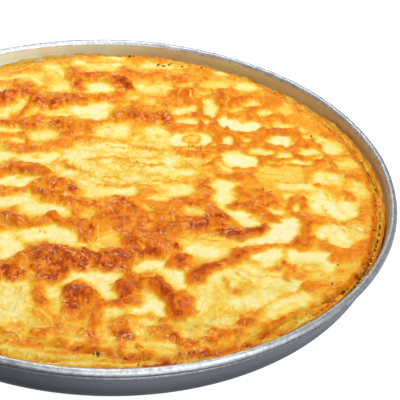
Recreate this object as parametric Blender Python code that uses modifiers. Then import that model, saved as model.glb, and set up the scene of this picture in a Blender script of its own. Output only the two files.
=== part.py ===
"""Water borek, baked in its round pan.

A flared sheet-metal pan with a rolled rim holds a whole pie. Its lower stack of boiled pastry
sheets lines the pan and stands up along the wall, a cheese and parsley filling lies over it,
and the upper stack closes it. The top sheets crumple into flat plates between raised folds.

Metres, +Z up. The pan stands on z = 0, with its centre on the Z axis.
"""

import math

import bmesh
import bpy
from mathutils import Vector, noise

MM = 0.001
SEGMENTS = 72  # facets around every turned shape

# ---------------------------------------------------------------- driving sizes, in millimetres

PAN_R = 220.0  # over the rolled rim
PAN_H = 40.0
SHEET = 1.5  # thickness of the metal
CURL_W = 6.0  # section of the rolled rim
CURL_H = 6.8
HEM_H = 3.0  # doubled sheet that shows as a band under the roll
HEM_STEP = 1.2
CORNER_R = 207.7  # outer radius where the wall meets the rounded corner
CORNER_Z = 12.4
FOOT_R = 194.4  # flat bottom

GAP = 0.35  # clearance between touching pieces
SKIN = 2.4  # thickness of the pastry edge that stands along the wall
SKIN_TOP = 30.4  # mean height of that edge
SKIN_WAVE = 1.5
LOWER_TOP = 12.0  # top of the lower stack
FILLING_TOP = 18.0
CREVICE_Z = 26.0  # height of the filling in the crevice at the wall

EDGE_R = 207.0  # mean radius of the top sheets
EDGE_WAVE = 1.8
EDGE_Z = 32.3  # height of their edge
EDGE_ROUND = 9.0  # width over which they round down to it
PLATE_Z = 33.0  # level of the flat plates
FOLD_H = 3.4  # usual rise of the folds between the plates
TOP_LIMIT = PAN_H - 0.5  # the highest fold stays just under the rim

GRID = 132  # cells across the top sheets before they are thinned out
TOP_TRIANGLES = 8000

# Flat pale plates: centre x and y, half length, half width, heading in degrees.
PLATES = (
    (-50, 176, 17, 7, 0), (-8, 187, 15, 6, 5), (30, 185, 12, 5, -5),
    (28, 149, 12, 6, 0), (-18, 148, 12, 6, 10), (72, 157, 8, 5, 0),
    (106, 160, 9, 5, -10), (66, 124, 13, 7, 0), (111, 141, 8, 4, 0),
    (-80, 111, 10, 7, 20), (-48, 106, 12, 5, 10), (-18, 108, 17, 8, 0),
    (91, 112, 11, 8, 20), (107, 98, 8, 10, 0), (52, 112, 9, 4, 0),
    (0, 86, 10, 9, 0), (32, 77, 12, 8, 0), (63, 84, 17, 8, 0),
    (89, 82, 7, 5, 0), (128, 84, 14, 8, -5), (150, 92, 12, 5, -30),
    (168, 76, 8, 8, 0), (152, 67, 11, 6, 0), (130, 62, 10, 5, 0),
    (113, 67, 8, 6, 0), (100, 51, 18, 10, 0), (-57, 78, 12, 8, 0),
    (-55, 44, 20, 9, -5), (-22, 54, 16, 7, 0), (8, 32, 10, 8, 0),
    (34, 48, 17, 4, -5), (57, 30, 9, 5, 0), (140, 50, 16, 5, 5),
    (130, 28, 18, 7, 0), (165, 32, 14, 8, 0), (184, 50, 9, 8, 0),
    (91, 8, 13, 12, 0), (148, 1, 10, 9, 0), (-72, 11, 17, 6, 0),
    (22, 10, 20, 6, 0), (48, 4, 14, 6, 0), (-8, -6, 14, 5, 0),
    (-70, -15, 17, 8, 0), (-50, -27, 15, 8, 10), (-48, -52, 22, 8, -20),
    (-78, -66, 16, 11, 0), (-15, -21, 9, 6, 0), (5, -62, 9, 5, -20),
    (105, -23, 16, 7, -25), (130, -12, 10, 6, 0), (159, -8, 10, 11, 0),
    (183, -9, 11, 8, 0), (132, -40, 22, 11, 25), (158, -36, 11, 8, 0),
    (174, -45, 8, 10, 0), (108, -54, 20, 4, 5), (75, -65, 14, 8, 0),
    (118, -68, 11, 8, 0), (148, -72, 18, 9, 0), (103, -86, 15, 9, 0),
    (150, -88, 13, 6, 0), (34, -88, 19, 8, -10), (54, -107, 13, 9, -30),
    (-4, -108, 21, 7, 0), (8, -126, 9, 9, 0), (32, -133, 12, 8, 10),
    (-65, -121, 18, 7, 0), (-76, -142, 24, 13, 0), (-35, -130, 5, 11, 0),
    (90, -101, 20, 11, 20), (128, -106, 19, 9, 0), (106, -128, 25, 9, 5),
    (71, -122, 11, 13, 0), (136, -126, 13, 7, 15), (90, -158, 13, 7, 0),
)

# Highest folds: two ends (x, y), half width and rise above the plates.
FOLDS = (
    ((-62, -86), (-25, -82), 10, 5.8), ((-25, -82), (24, -88), 11, 6.4),
    ((-92, -38), (-60, -42), 9, 5.6), ((-60, -42), (-38, -30), 6, 5.0),
    ((-14, -30), (-2, -56), 8, 4.8), ((24, -52), (44, -76), 7, 5.8),
    ((44, -40), (84, -32), 8, 5.4), ((84, -44), (116, -50), 7, 5.0),
    ((16, -114), (46, -110), 8, 5.6), ((46, -110), (62, -148), 7, 5.8),
    ((-18, -118), (-6, -128), 10, 5.6), ((-92, -106), (-58, -106), 8, 5.4),
    ((150, -24), (144, -66), 6, 4.8), ((76, -26), (98, -18), 7, 4.6),
    ((-104, 128), (-84, 134), 9, 5.6), ((-70, 128), (-4, 126), 8, 5.4),
    ((-42, 164), (-8, 160), 6, 4.8), ((0, 162), (14, 150), 8, 5.6),
    ((46, 140), (58, 152), 8, 5.8), ((0, 108), (46, 112), 7, 4.8),
    ((-62, 93), (-18, 92), 8, 5.2), ((64, 98), (138, 98), 5, 4.6),
    ((-60, 8), (-28, 14), 8, 5.0), ((-86, 26), (-48, 26), 7, 4.8),
    ((84, 152), (84, 134), 7, 5.0), ((144, -104), (156, -106), 8, 4.4),
)
HIDDEN_PLATES = 46  # plates of the side that is turned away, spread by rule
HIDDEN_X = -95.0  # that side lies beyond this line


# ---------------------------------------------------------------- shared formulas, in millimetres

WALL_TOP_Z = PAN_H - CURL_H - HEM_H - 0.6
WALL_TOP_R = PAN_R - CURL_W / 2 - HEM_STEP - 0.3
FLARE = (WALL_TOP_R - CORNER_R) / (WALL_TOP_Z - CORNER_Z)
SHEET_ACROSS = SHEET * math.hypot(1, FLARE)  # the sheet measured level, through the sloping wall


def wall_inside(z):
    """Radius of the pan's inner wall at height z."""
    return min(WALL_TOP_R - SHEET_ACROSS + FLARE * (z - WALL_TOP_Z), PAN_R - CURL_W)


def smooth(low, high, value):
    """0 below low, 1 above high, and an S-curve between."""
    t = min(max((value - low) / (high - low), 0.0), 1.0)
    return t * t * (3 - 2 * t)


def waver(angle, seed, turns=2.2):
    """Noise from -1 to 1 that closes on itself around the pan."""
    return 1.6 * noise.noise(Vector((turns * math.cos(angle), turns * math.sin(angle), seed)))


def crumple(x, y, size, seed):
    """Noise from about -1 to 1 with features of the given size."""
    return 1.6 * noise.noise(Vector((x / size, y / size, seed)))


def slack(angle):
    """How far the standing edge has come away from the wall, more on the +X side."""
    return 0.5 + 0.5 * max(math.cos(angle - 0.1), 0) + 0.3 * max(waver(angle, 3.7), 0)


def skin_outside(angle, z):
    """Radius of the standing pastry edge's outer face."""
    return wall_inside(z) - GAP - slack(angle) * smooth(CORNER_Z + 2, SKIN_TOP, z)


def skin_inside(angle, z):
    return skin_outside(angle, z) - SKIN


def front(angle):
    """1 at the -Y side, where the top sheets step down in a second fold, and 0 elsewhere."""
    return smooth(0.55, 0.85, -math.sin(angle + 0.22))


def edge_radius(angle):
    """Radius of the top sheets' own edge, always clear of the standing edge."""
    wanted = EDGE_R + EDGE_WAVE * waver(angle, 8.3, 3.1)
    return min(wanted, skin_inside(angle, SKIN_TOP) - 1.2)


def edge_height(angle):
    return EDGE_Z + 0.9 * waver(angle, 5.1, 2.6) - 1.4 * front(angle)


def outline_distance(x, y, plate):
    """Distance from a plate's outline, negative inside it."""
    px, py, half_length, half_width, heading = plate
    turn = math.radians(heading)
    along = (x - px) * math.cos(turn) + (y - py) * math.sin(turn)
    across = (y - py) * math.cos(turn) - (x - px) * math.sin(turn)
    return (math.hypot(along / half_length, across / half_width) - 1) * min(half_length, half_width)


def hidden_plates():
    """Plates for the side that is turned away, on a sunflower spiral nudged by noise."""
    found = []
    step = math.pi * (3 - math.sqrt(5))
    for index in range(400):
        radius = 196 * math.sqrt((index + 0.5) / 400)
        x = radius * math.cos(index * step) + 5 * crumple(index, 0.3, 1.7, 21.0)
        y = radius * math.sin(index * step) + 5 * crumple(index, 0.7, 1.7, 24.0)
        size = 8 + 3 * crumple(index, 0.1, 1.3, 27.0)
        near = [outline_distance(x, y, plate) for plate in PLATES + tuple(found)]
        if x < HIDDEN_X and min(near) > 10 and len(found) < HIDDEN_PLATES:
            found.append((x, y, 1.5 * size, size, 90 * crumple(index, 0.9, 1.9, 30.0)))
    return tuple(found)


def fold_rise(x, y, fold):
    """Rise of one high fold at a point, rounded across and at both ends."""
    (ax, ay), (bx, by), half_width, rise = fold
    length2 = (bx - ax) ** 2 + (by - ay) ** 2
    t = min(max(((x - ax) * (bx - ax) + (y - ay) * (by - ay)) / length2, 0), 1)
    away = math.hypot(x - ax - t * (bx - ax), y - ay - t * (by - ay)) / half_width
    return rise * max(1 - away * away, 0) ** 0.6


def sheet_height(x, y, plates):
    """Height of the crumpled top sheets before they round down at their edge."""
    wx = x + 3.0 * crumple(x, y, 17, 1.0) + 1.2 * crumple(x, y, 8, 2.0)
    wy = y + 3.0 * crumple(x, y, 17, 4.0) + 1.2 * crumple(x, y, 8, 5.0)
    near, second = sorted(outline_distance(wx, wy, plate) for plate in plates)[:2]
    flat = smooth(3.2, -0.4, near) * smooth(0.2, 2.6, second - near)
    crest = 1 - abs(crumple(wx, wy, 15, 9.0))
    rise = (1 - flat) * FOLD_H * (0.35 + 0.75 * crest)
    for fold in FOLDS:
        rise = max(rise, fold_rise(wx, wy, fold) * (0.82 + 0.18 * crest))
    sway = 0.7 * crumple(x, y, 60, 12.0) + 0.5 * crumple(x, y, 24, 14.0)
    return min(PLATE_Z + sway + rise, TOP_LIMIT)


def top_height(x, y, plates):
    """Height of the top sheets, with the drop at their edge and the second fold in front."""
    angle = math.atan2(y, x)
    inward = edge_radius(angle) - math.hypot(x, y)
    height = sheet_height(x, y, plates)
    height -= 2.2 * front(angle) * smooth(14.0, 10.0, inward)
    low = edge_height(angle)
    t = 1 - min(max(inward / EDGE_ROUND, 0), 1)
    return low + (max(height, low + 0.6) - low) * math.sqrt(1 - t * t)


# ---------------------------------------------------------------- Blender helpers

def material(name, colour, roughness, metallic=0.0):
    made = bpy.data.materials.new(name)
    made.use_nodes = True
    shader = made.node_tree.nodes["Principled BSDF"]
    shader.inputs["Base Color"].default_value = (*colour, 1)
    shader.inputs["Roughness"].default_value = roughness
    shader.inputs["Metallic"].default_value = metallic
    return made


def add_object(name, mesh, finish, collection):
    made = bpy.data.objects.new(name, mesh)
    mesh.materials.append(finish)
    collection.objects.link(made)
    return made


def finish_bmesh(bm, name):
    bmesh.ops.recalc_face_normals(bm, faces=bm.faces)
    mesh = bpy.data.meshes.new(name)
    bm.to_mesh(mesh)
    bm.free()
    mesh.shade_smooth()
    mesh.set_sharp_from_angle(angle=math.radians(40))
    return mesh


def curve_points(start, bend, end, count):
    """Points along a quadratic curve, both ends included."""
    points = []
    for i in range(count + 1):
        t = i / count
        points.append(
            tuple((1 - t) ** 2 * a + 2 * t * (1 - t) * b + t * t * c for a, b, c in zip(start, bend, end))
        )
    return points


def loft(name, section):
    """Mesh turned around Z whose section, from the axis back to the axis, changes with the angle."""
    bm = bmesh.new()
    rings = []
    for i in range(SEGMENTS):
        angle = 2 * math.pi * i / SEGMENTS
        points = section(angle)[1:-1]
        rings.append([bm.verts.new((r * MM * math.cos(angle), r * MM * math.sin(angle), z * MM)) for r, z in points])
    ends = [bm.verts.new((0, 0, section(0)[k][1] * MM)) for k in (0, -1)]
    for ring, following in zip(rings, rings[1:] + rings[:1]):
        bm.faces.new((ends[0], ring[0], following[0]))
        bm.faces.new((ends[1], following[-1], ring[-1]))
        for k in range(len(ring) - 1):
            bm.faces.new((ring[k], ring[k + 1], following[k + 1], following[k]))
    return finish_bmesh(bm, name)


# ---------------------------------------------------------------- the pan

def pan_section():
    """Section of the pan: along the floor, up the inside, over the roll and down the outside."""
    inner_top = (PAN_R - CURL_W, PAN_H - CURL_H / 2)
    floor_bend = (wall_inside(CORNER_Z) - FLARE * (CORNER_Z - SHEET), SHEET)
    inner = curve_points((FOOT_R - 0.6, SHEET), floor_bend, (wall_inside(CORNER_Z), CORNER_Z), 4)
    points = [(0.0, SHEET), *inner, (wall_inside(WALL_TOP_Z), WALL_TOP_Z), inner_top]
    centre_r = PAN_R - CURL_W / 2
    centre_z = PAN_H - CURL_H / 2
    arc_steps = 12
    for i in range(1, arc_steps + 1):
        turn = math.radians(180 - 270 * i / arc_steps)
        points.append((centre_r + CURL_W / 2 * math.cos(turn), centre_z + CURL_H / 2 * math.sin(turn)))
    points += [(centre_r, PAN_H - CURL_H - HEM_H), (WALL_TOP_R, WALL_TOP_Z)]
    foot_bend = (CORNER_R - FLARE * CORNER_Z, 0.0)
    points += curve_points((CORNER_R, CORNER_Z), foot_bend, (FOOT_R, 0.0), 4)
    return [*points, (0.0, 0.0)]


def build_pan(collection):
    bm = bmesh.new()
    verts = [bm.verts.new((r * MM, 0, z * MM)) for r, z in pan_section()]
    for a, b in zip(verts, verts[1:]):
        bm.edges.new((a, b))
    mesh = bpy.data.meshes.new("pan")
    bm.to_mesh(mesh)
    bm.free()
    pan = add_object("pan", mesh, material("aluminium", (0.55, 0.56, 0.57), 0.35, 1.0), collection)
    turn = pan.modifiers.new("turn", "SCREW")
    turn.axis = "Z"
    turn.angle = 2 * math.pi
    turn.steps = SEGMENTS
    turn.render_steps = SEGMENTS
    turn.use_merge_vertices = True
    turn.merge_threshold = 0.0001
    turn.use_smooth_shade = True
    return pan


# ---------------------------------------------------------------- the pie

def lower_section(angle):
    """Section of the lower stack: under its floor, up the wall, over its edge and back inside."""
    bend = (wall_inside(CORNER_Z) - FLARE * (CORNER_Z - SHEET), SHEET)
    corner = curve_points((FOOT_R - 0.6, SHEET), bend, (wall_inside(CORNER_Z), CORNER_Z), 3)
    points = [(0.0, SHEET + GAP)] + [(r - GAP, z + GAP) for r, z in corner]
    top = SKIN_TOP + SKIN_WAVE * waver(angle, 6.4, 2.7) + 0.5 * waver(angle, 7.9, 9.0)
    outer = skin_outside(angle, top)
    points += [
        (skin_outside(angle, top - 0.8), top - 0.8),
        (outer - 0.7, top),
        (outer - SKIN + 0.5, top - 0.1),
        (skin_inside(angle, top - 1.2), top - 1.2),
        (skin_inside(angle, LOWER_TOP + 2.5), LOWER_TOP + 2.5),
        (196.0, LOWER_TOP),
        (0.0, LOWER_TOP),
    ]
    return points


def filling_section(angle):
    """Section of the filling: a flat layer that heaps up into the crevice at the wall."""
    foot = LOWER_TOP + 3.0
    return [
        (0.0, LOWER_TOP + GAP),
        (195.6, LOWER_TOP + GAP),
        (skin_inside(angle, foot) - 0.8, foot),
        (skin_inside(angle, CREVICE_Z) - 0.8, CREVICE_Z),
        (203.0, CREVICE_Z - 0.8),
        (196.0, FILLING_TOP),
        (0.0, FILLING_TOP),
    ]


def build_top_sheets(collection):
    """The crumpled upper stack: a relief on a round grid, closed at the side and underneath."""
    plates = PLATES + hidden_plates()
    bm = bmesh.new()
    bmesh.ops.create_grid(bm, x_segments=GRID, y_segments=GRID, size=1.0)
    for vert in bm.verts:
        a, b = vert.co.x, vert.co.y
        if abs(a) > abs(b):
            share, angle = a, math.pi / 4 * b / a
        else:
            share, angle = b, math.pi / 2 - (math.pi / 4 * a / b if b else 0.0)
        if share < 0:
            share, angle = -share, angle + math.pi
        radius = share * edge_radius(angle)
        x, y = radius * math.cos(angle), radius * math.sin(angle)
        vert.co = (x * MM, y * MM, top_height(x, y, plates) * MM)
    rim = [edge for edge in bm.edges if edge.is_boundary]
    below = CREVICE_Z + 0.9
    steps = (
        lambda angle, z: (edge_radius(angle) - 0.3, max(z - 2.4, below + 1.0)),
        lambda angle, z: (min(edge_radius(angle) - 1.4, skin_inside(angle, below) - 1.2), below),
        lambda angle, z: (202.4, below),
        lambda angle, z: (194.8, FILLING_TOP + 0.5),
    )
    for step in steps:
        made = bmesh.ops.extrude_edge_only(bm, edges=rim)["geom"]
        rim = [item for item in made if isinstance(item, bmesh.types.BMEdge)]
        for vert in (item for item in made if isinstance(item, bmesh.types.BMVert)):
            angle = math.atan2(vert.co.y, vert.co.x)
            radius, height = step(angle, vert.co.z / MM)
            vert.co = (radius * MM * math.cos(angle), radius * MM * math.sin(angle), height * MM)
    bmesh.ops.contextual_create(bm, geom=[edge for edge in bm.edges if edge.is_boundary])
    bmesh.ops.triangulate(bm, faces=bm.faces)
    count = len(bm.faces)
    mesh = finish_bmesh(bm, "top_sheets")
    top = add_object("top_sheets", mesh, material("browned_pastry", (0.78, 0.42, 0.10), 0.45), collection)
    thin = top.modifiers.new("thin", "DECIMATE")
    thin.ratio = TOP_TRIANGLES / count
    return top


def main():
    for existing in list(bpy.data.objects):
        bpy.data.objects.remove(existing, do_unlink=True)
    collection = bpy.data.collections.new("water_borek")
    bpy.context.scene.collection.children.link(collection)
    build_pan(collection)
    pastry = material("pale_pastry", (0.86, 0.62, 0.26), 0.5)
    add_object("bottom_sheets", loft("bottom_sheets", lower_section), pastry, collection)
    cheese = material("cheese_and_parsley", (0.80, 0.70, 0.30), 0.6)
    add_object("filling", loft("filling", filling_section), cheese, collection)
    build_top_sheets(collection)


main()
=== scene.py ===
"""Water borek in its round pan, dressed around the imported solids."""

import math

import bpy
import numpy as np
from mathutils import Matrix, Vector, noise


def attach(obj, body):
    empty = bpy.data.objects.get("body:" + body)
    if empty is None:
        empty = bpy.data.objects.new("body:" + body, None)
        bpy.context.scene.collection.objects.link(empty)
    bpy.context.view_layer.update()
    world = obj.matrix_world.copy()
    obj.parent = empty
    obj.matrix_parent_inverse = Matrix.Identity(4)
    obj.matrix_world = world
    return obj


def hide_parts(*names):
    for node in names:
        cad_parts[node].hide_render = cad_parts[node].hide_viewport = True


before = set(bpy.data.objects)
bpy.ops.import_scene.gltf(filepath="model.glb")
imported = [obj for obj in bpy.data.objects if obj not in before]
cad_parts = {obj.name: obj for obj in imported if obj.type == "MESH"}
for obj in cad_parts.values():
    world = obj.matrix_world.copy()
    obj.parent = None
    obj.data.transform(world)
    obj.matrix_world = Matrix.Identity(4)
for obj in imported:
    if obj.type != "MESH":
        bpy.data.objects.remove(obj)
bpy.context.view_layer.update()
MM = 0.001


# ---------------------------------------------------------------- table, light and eye
# A plain pale table top under a wide soft studio light. The eye looks down by 35 degrees from in
# front, through a long lens, close enough that the left side of the pan runs out of the picture.

class Wire:
    """A socket of a node tree that can stand in a sum, which adds the Math nodes."""

    def __init__(self, tree, socket=None):
        self.tree = tree
        self.socket = socket

    def node(self, kind, settings=None, inputs=None, output=0):
        """Adds a node: its settings first, then the values or links of its sockets."""
        made = self.tree.nodes.new(kind)
        for name, value in (settings or {}).items():
            if name == "stops":
                ramp = made.color_ramp.elements
                ramp[0].position, ramp[1].position = value[0][0], value[-1][0]
                ramp[0].color, ramp[1].color = (*value[0][1], 1), (*value[-1][1], 1)
                for place, colour in value[1:-1]:
                    ramp.new(place).color = (*colour, 1)
            else:
                setattr(made, name, value)
        for name, value in (inputs or {}).items():
            if isinstance(value, Wire):
                self.tree.links.new(value.socket, made.inputs[name])
            else:
                made.inputs[name].default_value = value
        return Wire(self.tree, made.outputs[output])

    def also(self, output):
        """Another output of the same node."""
        return Wire(self.tree, self.socket.node.outputs[output])

    def maths(self, operation, *values):
        return self.node("ShaderNodeMath", {"operation": operation}, dict(enumerate(values)))

    def __add__(self, other):
        return self.maths("ADD", self, other)

    __radd__ = __add__

    def __mul__(self, other):
        return self.maths("MULTIPLY", self, other)

    __rmul__ = __mul__

    def __sub__(self, other):
        return self.maths("SUBTRACT", self, other)

    def __rsub__(self, other):
        return self.maths("SUBTRACT", other, self)

    def __abs__(self):
        return self.maths("ABSOLUTE", self)

    def between(self, low, high):
        """0 below low, 1 above high, and a smooth rise between."""
        settings = {"interpolation_type": "SMOOTHSTEP"}
        return self.node("ShaderNodeMapRange", settings, {0: self, 1: low, 2: high})

    def blend(self, first, second):
        """A colour that goes from first to second as this value goes from 0 to 1."""
        return self.node("ShaderNodeMix", {"data_type": "RGBA"}, {0: self, 6: first, 7: second}, 2)

    def close_to(self, middle, far, near):
        """1 within near of the middle value, 0 from far off it, and a smooth fall between."""
        return abs(self - middle).between(far, near)

    def grain(self, place, scale, detail=2.0, roughness=0.5):
        """Noise on a place, with so many grains to the metre."""
        values = {"Vector": place, "Scale": scale, "Detail": detail, "Roughness": roughness}
        return self.node("ShaderNodeTexNoise", {}, values)

    def shift(self, operation, *values):
        """Sums on vectors, which keep their three parts."""
        return self.node("ShaderNodeVectorMath", {"operation": operation}, dict(enumerate(values)))


def rgb(red, green, blue):
    """A colour given as it looks on a screen, 0 to 255, as the linear values that a shader takes."""
    shares = [v / 255 for v in (red, green, blue)]
    return tuple(v / 12.92 if v < 0.04045 else ((v + 0.055) / 1.055) ** 2.4 for v in shares)


def rgba(red, green, blue):
    return (*rgb(red, green, blue), 1.0)


def feed(shader, name, wire):
    """Links a wire to a socket of a shader."""
    wire.tree.links.new(wire.socket, shader.inputs[name])


PAN_R = 220.0
PICTURE = 400
LENS_PIXELS = 2305.9  # focal length in pixels of the picture
LOOK_DOWN = math.radians(35.0)
ROLL = math.radians(-2.779)
# The pan's foot, seen from the eye: across, up and away from it, in mm.
AIM_ACROSS, AIM_UP, AIM_DEPTH = -0.3187 * PAN_R, -0.1227 * PAN_R, 8.0663 * PAN_R


def placed(name, data):
    """An object for a mesh, a lens or a light, put into the scene."""
    made = bpy.data.objects.new(name, data)
    bpy.context.scene.collection.objects.link(made)
    return made


eye_data = bpy.data.cameras.new("eye")
eye_data.sensor_width = 36.0
eye_data.lens = eye_data.sensor_width * LENS_PIXELS / PICTURE
eye = placed("eye", eye_data)
forward = np.array((0, math.cos(LOOK_DOWN), -math.sin(LOOK_DOWN)))
upward = np.array((0, math.sin(LOOK_DOWN), math.cos(LOOK_DOWN)))
sideways = np.array((1, 0, 0))
across = sideways * math.cos(ROLL) - upward * math.sin(ROLL)
above = sideways * math.sin(ROLL) + upward * math.cos(ROLL)
eye_place = -(sideways * AIM_ACROSS + upward * AIM_UP + forward * AIM_DEPTH)
stand = Matrix((across, above, -forward)).transposed().to_4x4()
stand.translation = eye_place * MM
eye.matrix_world = stand
bpy.context.scene.camera = eye
bpy.context.scene.view_settings.view_transform = "Standard"

studio = bpy.data.worlds.new("studio")
studio.use_nodes = True
bpy.context.scene.world = studio
sky = Wire(studio.node_tree)
ahead = sky.node("ShaderNodeTexCoord", {}, {}, "Generated")
aside = sky.node("ShaderNodeSeparateXYZ", {}, {0: ahead})
far, climb = aside.also("Y"), aside.also("Z")
HAZE = (0.55, 0.56, 0.58, 1)
GLOOM = (0.05, 0.055, 0.06, 1)
LAMP = (1.6, 1.6, 1.6, 1)
LAMP_TOWARD = (0.46, -0.86, 0.22)
# Straight down is dark, as in the pan's own shadow, lighter to the right, and it clears outwards.
below = sky.node(
    "ShaderNodeValToRGB",
    {"stops": (
        (0.29, (0.045, 0.047, 0.054)), (0.45, (0.18, 0.187, 0.205)), (0.58, (0.38, 0.39, 0.42)),
        (0.66, (0.24, 0.25, 0.27)), (0.76, (0.17, 0.18, 0.20)),
    )},
    {0: aside * 0.5 + 0.5},
)
shade = sky.node(
    "ShaderNodeValToRGB",
    {"stops": (
        (0.0, (0.20, 0.21, 0.23)), (0.30, (0.36, 0.37, 0.39)), (0.5, (0.38, 0.38, 0.39)),
        (0.60, (0.36, 0.36, 0.36)), (0.75, (0.32, 0.32, 0.33)), (1.0, (0.32, 0.32, 0.32)),
    )},
    {0: climb * 0.5 + 0.5},
)
shade = climb.between(-0.88, -0.66).blend(far.between(0.15, 0.6).blend(below, HAZE), shade)
shade = (far.between(0.3, 0.7) * climb.between(0.0, -0.3)).blend(shade, HAZE)
# The room in front is dark low down on the left, and a broad lamp stands in front on the right.
gloomy = climb.between(-0.70, -0.60) * climb.between(0.20, -0.12) * aside.between(0.38, 0.05)
toward = sky.shift("DOT_PRODUCT", ahead, LAMP_TOWARD).also("Value")
lit = toward.between(0.50, 0.93).blend(gloomy.blend(shade, GLOOM), LAMP)
feed(studio.node_tree.nodes["Background"], "Color", lit)


def soft_light(name, place, size, power, aim=(0, 0, 0.03)):
    """A square lamp behind a cloth, turned to the pie. Places and sizes in metres, power in watts."""
    data = bpy.data.lights.new(name, "AREA")
    data.size = size
    data.energy = power
    light = placed(name, data)
    light.location = place
    light.rotation_euler = (Vector(aim) - Vector(place)).to_track_quat("-Z", "Y").to_euler()
    return light


# Most of the key light falls through a diffuser and leaves no glint of its own.
soft_light("key_light", (-0.10, 0.85, 1.3), 0.22, 8.4).visible_glossy = False
soft_light("glint_light", (-0.10, 0.85, 1.3), 0.22, 5.0)
soft_light("top_light", (0.1, -0.1, 2.3), 0.5, 6.5)
soft_light("fill_light", (1.1, -0.9, 1.6), 0.35, 5.5)

FLOOR_REACH = 6.0
FLOOR_Z = -0.0002
floor_mesh = bpy.data.meshes.new("floor")
corners = ((-1, -1), (1, -1), (1, 1), (-1, 1))
floor_corners = [(a * FLOOR_REACH, b * FLOOR_REACH, FLOOR_Z) for a, b in corners]
floor_mesh.from_pydata(floor_corners, [], [(0, 1, 2, 3)])
floor = placed("floor", floor_mesh)
table_top = bpy.data.materials.new("pale_table")
table_top.use_nodes = True
table_shader = table_top.node_tree.nodes["Principled BSDF"]
table_shader.inputs["Base Color"].default_value = (0.25, 0.25, 0.25, 1)
table_shader.inputs["Roughness"].default_value = 0.9
table_shader.inputs["Specular IOR Level"].default_value = 0.0
table_shader.inputs["Emission Color"].default_value = (1, 1, 1, 1)
table_shader.inputs["Emission Strength"].default_value = 0.95
floor_mesh.materials.append(table_top)
floor.visible_glossy = False


# ---------------------------------------------------------------- the pan
# A round baking pan spun from one aluminium sheet of 1.5 mm. Its wall flares, and the brim is
# doubled into a flat band and rolled outwards, hammered a little flat on top by years of use.

PAN_H = 40.0
SHEET = 1.5
CURL_W = 6.0
CURL_H = 6.8
HEM_H = 3.0
HEM_STEP = 1.2
CORNER_R = 207.7
CORNER_Z = 12.4
FOOT_R = 194.4
HUB_R = 20.0  # where a turned section starts, with a fan inside it
WALL_TOP_Z = PAN_H - CURL_H - HEM_H - 0.6
WALL_TOP_R = PAN_R - CURL_W / 2 - HEM_STEP - 0.3
FLARE = (WALL_TOP_R - CORNER_R) / (WALL_TOP_Z - CORNER_Z)
SHEET_ACROSS = SHEET * math.hypot(1, FLARE)
PAN_STEPS = 360
ROLL_STEPS = 27


def wall_inside(z):
    """Radius of the pan's inner wall at height z, in millimetres."""
    return np.minimum(WALL_TOP_R - SHEET_ACROSS + FLARE * (z - WALL_TOP_Z), PAN_R - CURL_W)


def ripple(x, y, size, seed):
    """Noise from about -1 to 1 with features of the given size, over arrays of millimetres."""
    x, y = np.broadcast_arrays(np.asarray(x, float), np.asarray(y, float))
    found = [noise.noise((a, b, seed)) for a, b in zip((x / size).ravel(), (y / size).ravel())]
    return 1.6 * np.array(found).reshape(x.shape)


def waver(angle, seed, turns=2.2):
    """Noise from -1 to 1 that closes on itself around the pan."""
    return ripple(turns * np.cos(angle), turns * np.sin(angle), 1.0, seed)


def bend(start, middle, end, count):
    """Points along a quadratic curve, both ends included."""
    t = np.linspace(0, 1, count + 1)[:, None]
    return (1 - t) ** 2 * np.array(start) + 2 * t * (1 - t) * np.array(middle) + t * t * np.array(end)


def line(start, end, count):
    """Points from start up to, but not including, end."""
    t = np.arange(count)[:, None] / count
    return (1 - t) * np.array(start) + t * np.array(end)


def turned_rings(angle, radius, level):
    """Points (x, y, z) of a turned piece, from the radius and height of its section at each angle."""
    angle = np.reshape(angle, (len(angle), -1))
    return np.stack([radius * np.cos(angle), radius * np.sin(angle), level], -1)


def lathe(name, rings, finish):
    """A closed piece turned round Z from rings[angle, point] = (x, y, z) in millimetres.
    The first and last point of each ring lie round the axis and are closed with a fan."""
    count, length = rings.shape[:2]
    verts = [tuple(p) for p in (rings * MM).reshape(-1, 3)]
    first, last = len(verts), len(verts) + 1
    verts += [(0, 0, rings[0, 0, 2] * MM), (0, 0, rings[0, -1, 2] * MM)]
    faces = []
    for i in range(count):
        a, b = i * length, (i + 1) % count * length
        faces.append((first, a, b))
        faces.append((last, b + length - 1, a + length - 1))
        faces += [(a + k, a + k + 1, b + k + 1, b + k) for k in range(length - 1)]
    # A section listed the other way round is turned, so that the piece faces outward.
    reach, height = np.hypot(rings[0, :, 0], rings[0, :, 1]), rings[0, :, 2]
    if np.sum(reach * np.roll(height, -1) - np.roll(reach, -1) * height) > 0:
        faces = [face[::-1] for face in faces]
    mesh = bpy.data.meshes.new(name)
    mesh.from_pydata(verts, [], faces)
    mesh.shade_smooth()
    mesh.materials.append(finish)
    return placed(name, mesh)


def polar_place(tree_wire):
    """Object coordinates of a turned piece in metres: the plain vector, around, outward and height."""
    place = tree_wire.node("ShaderNodeTexCoord", {}, {}, "Object")
    x = tree_wire.node("ShaderNodeSeparateXYZ", {}, {0: place})
    y, z = x.also("Y"), x.also("Z")
    outward = x.maths("SQRT", x * x + y * y)
    around = x.maths("ARCTAN2", y, x)
    return place, around, outward, z


def new_finish(name):
    """A material, a wire to build its nodes with, and its shader."""
    made = bpy.data.materials.new(name)
    made.use_nodes = True
    shader = made.node_tree.nodes["Principled BSDF"]
    return made, Wire(made.node_tree), shader


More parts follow.
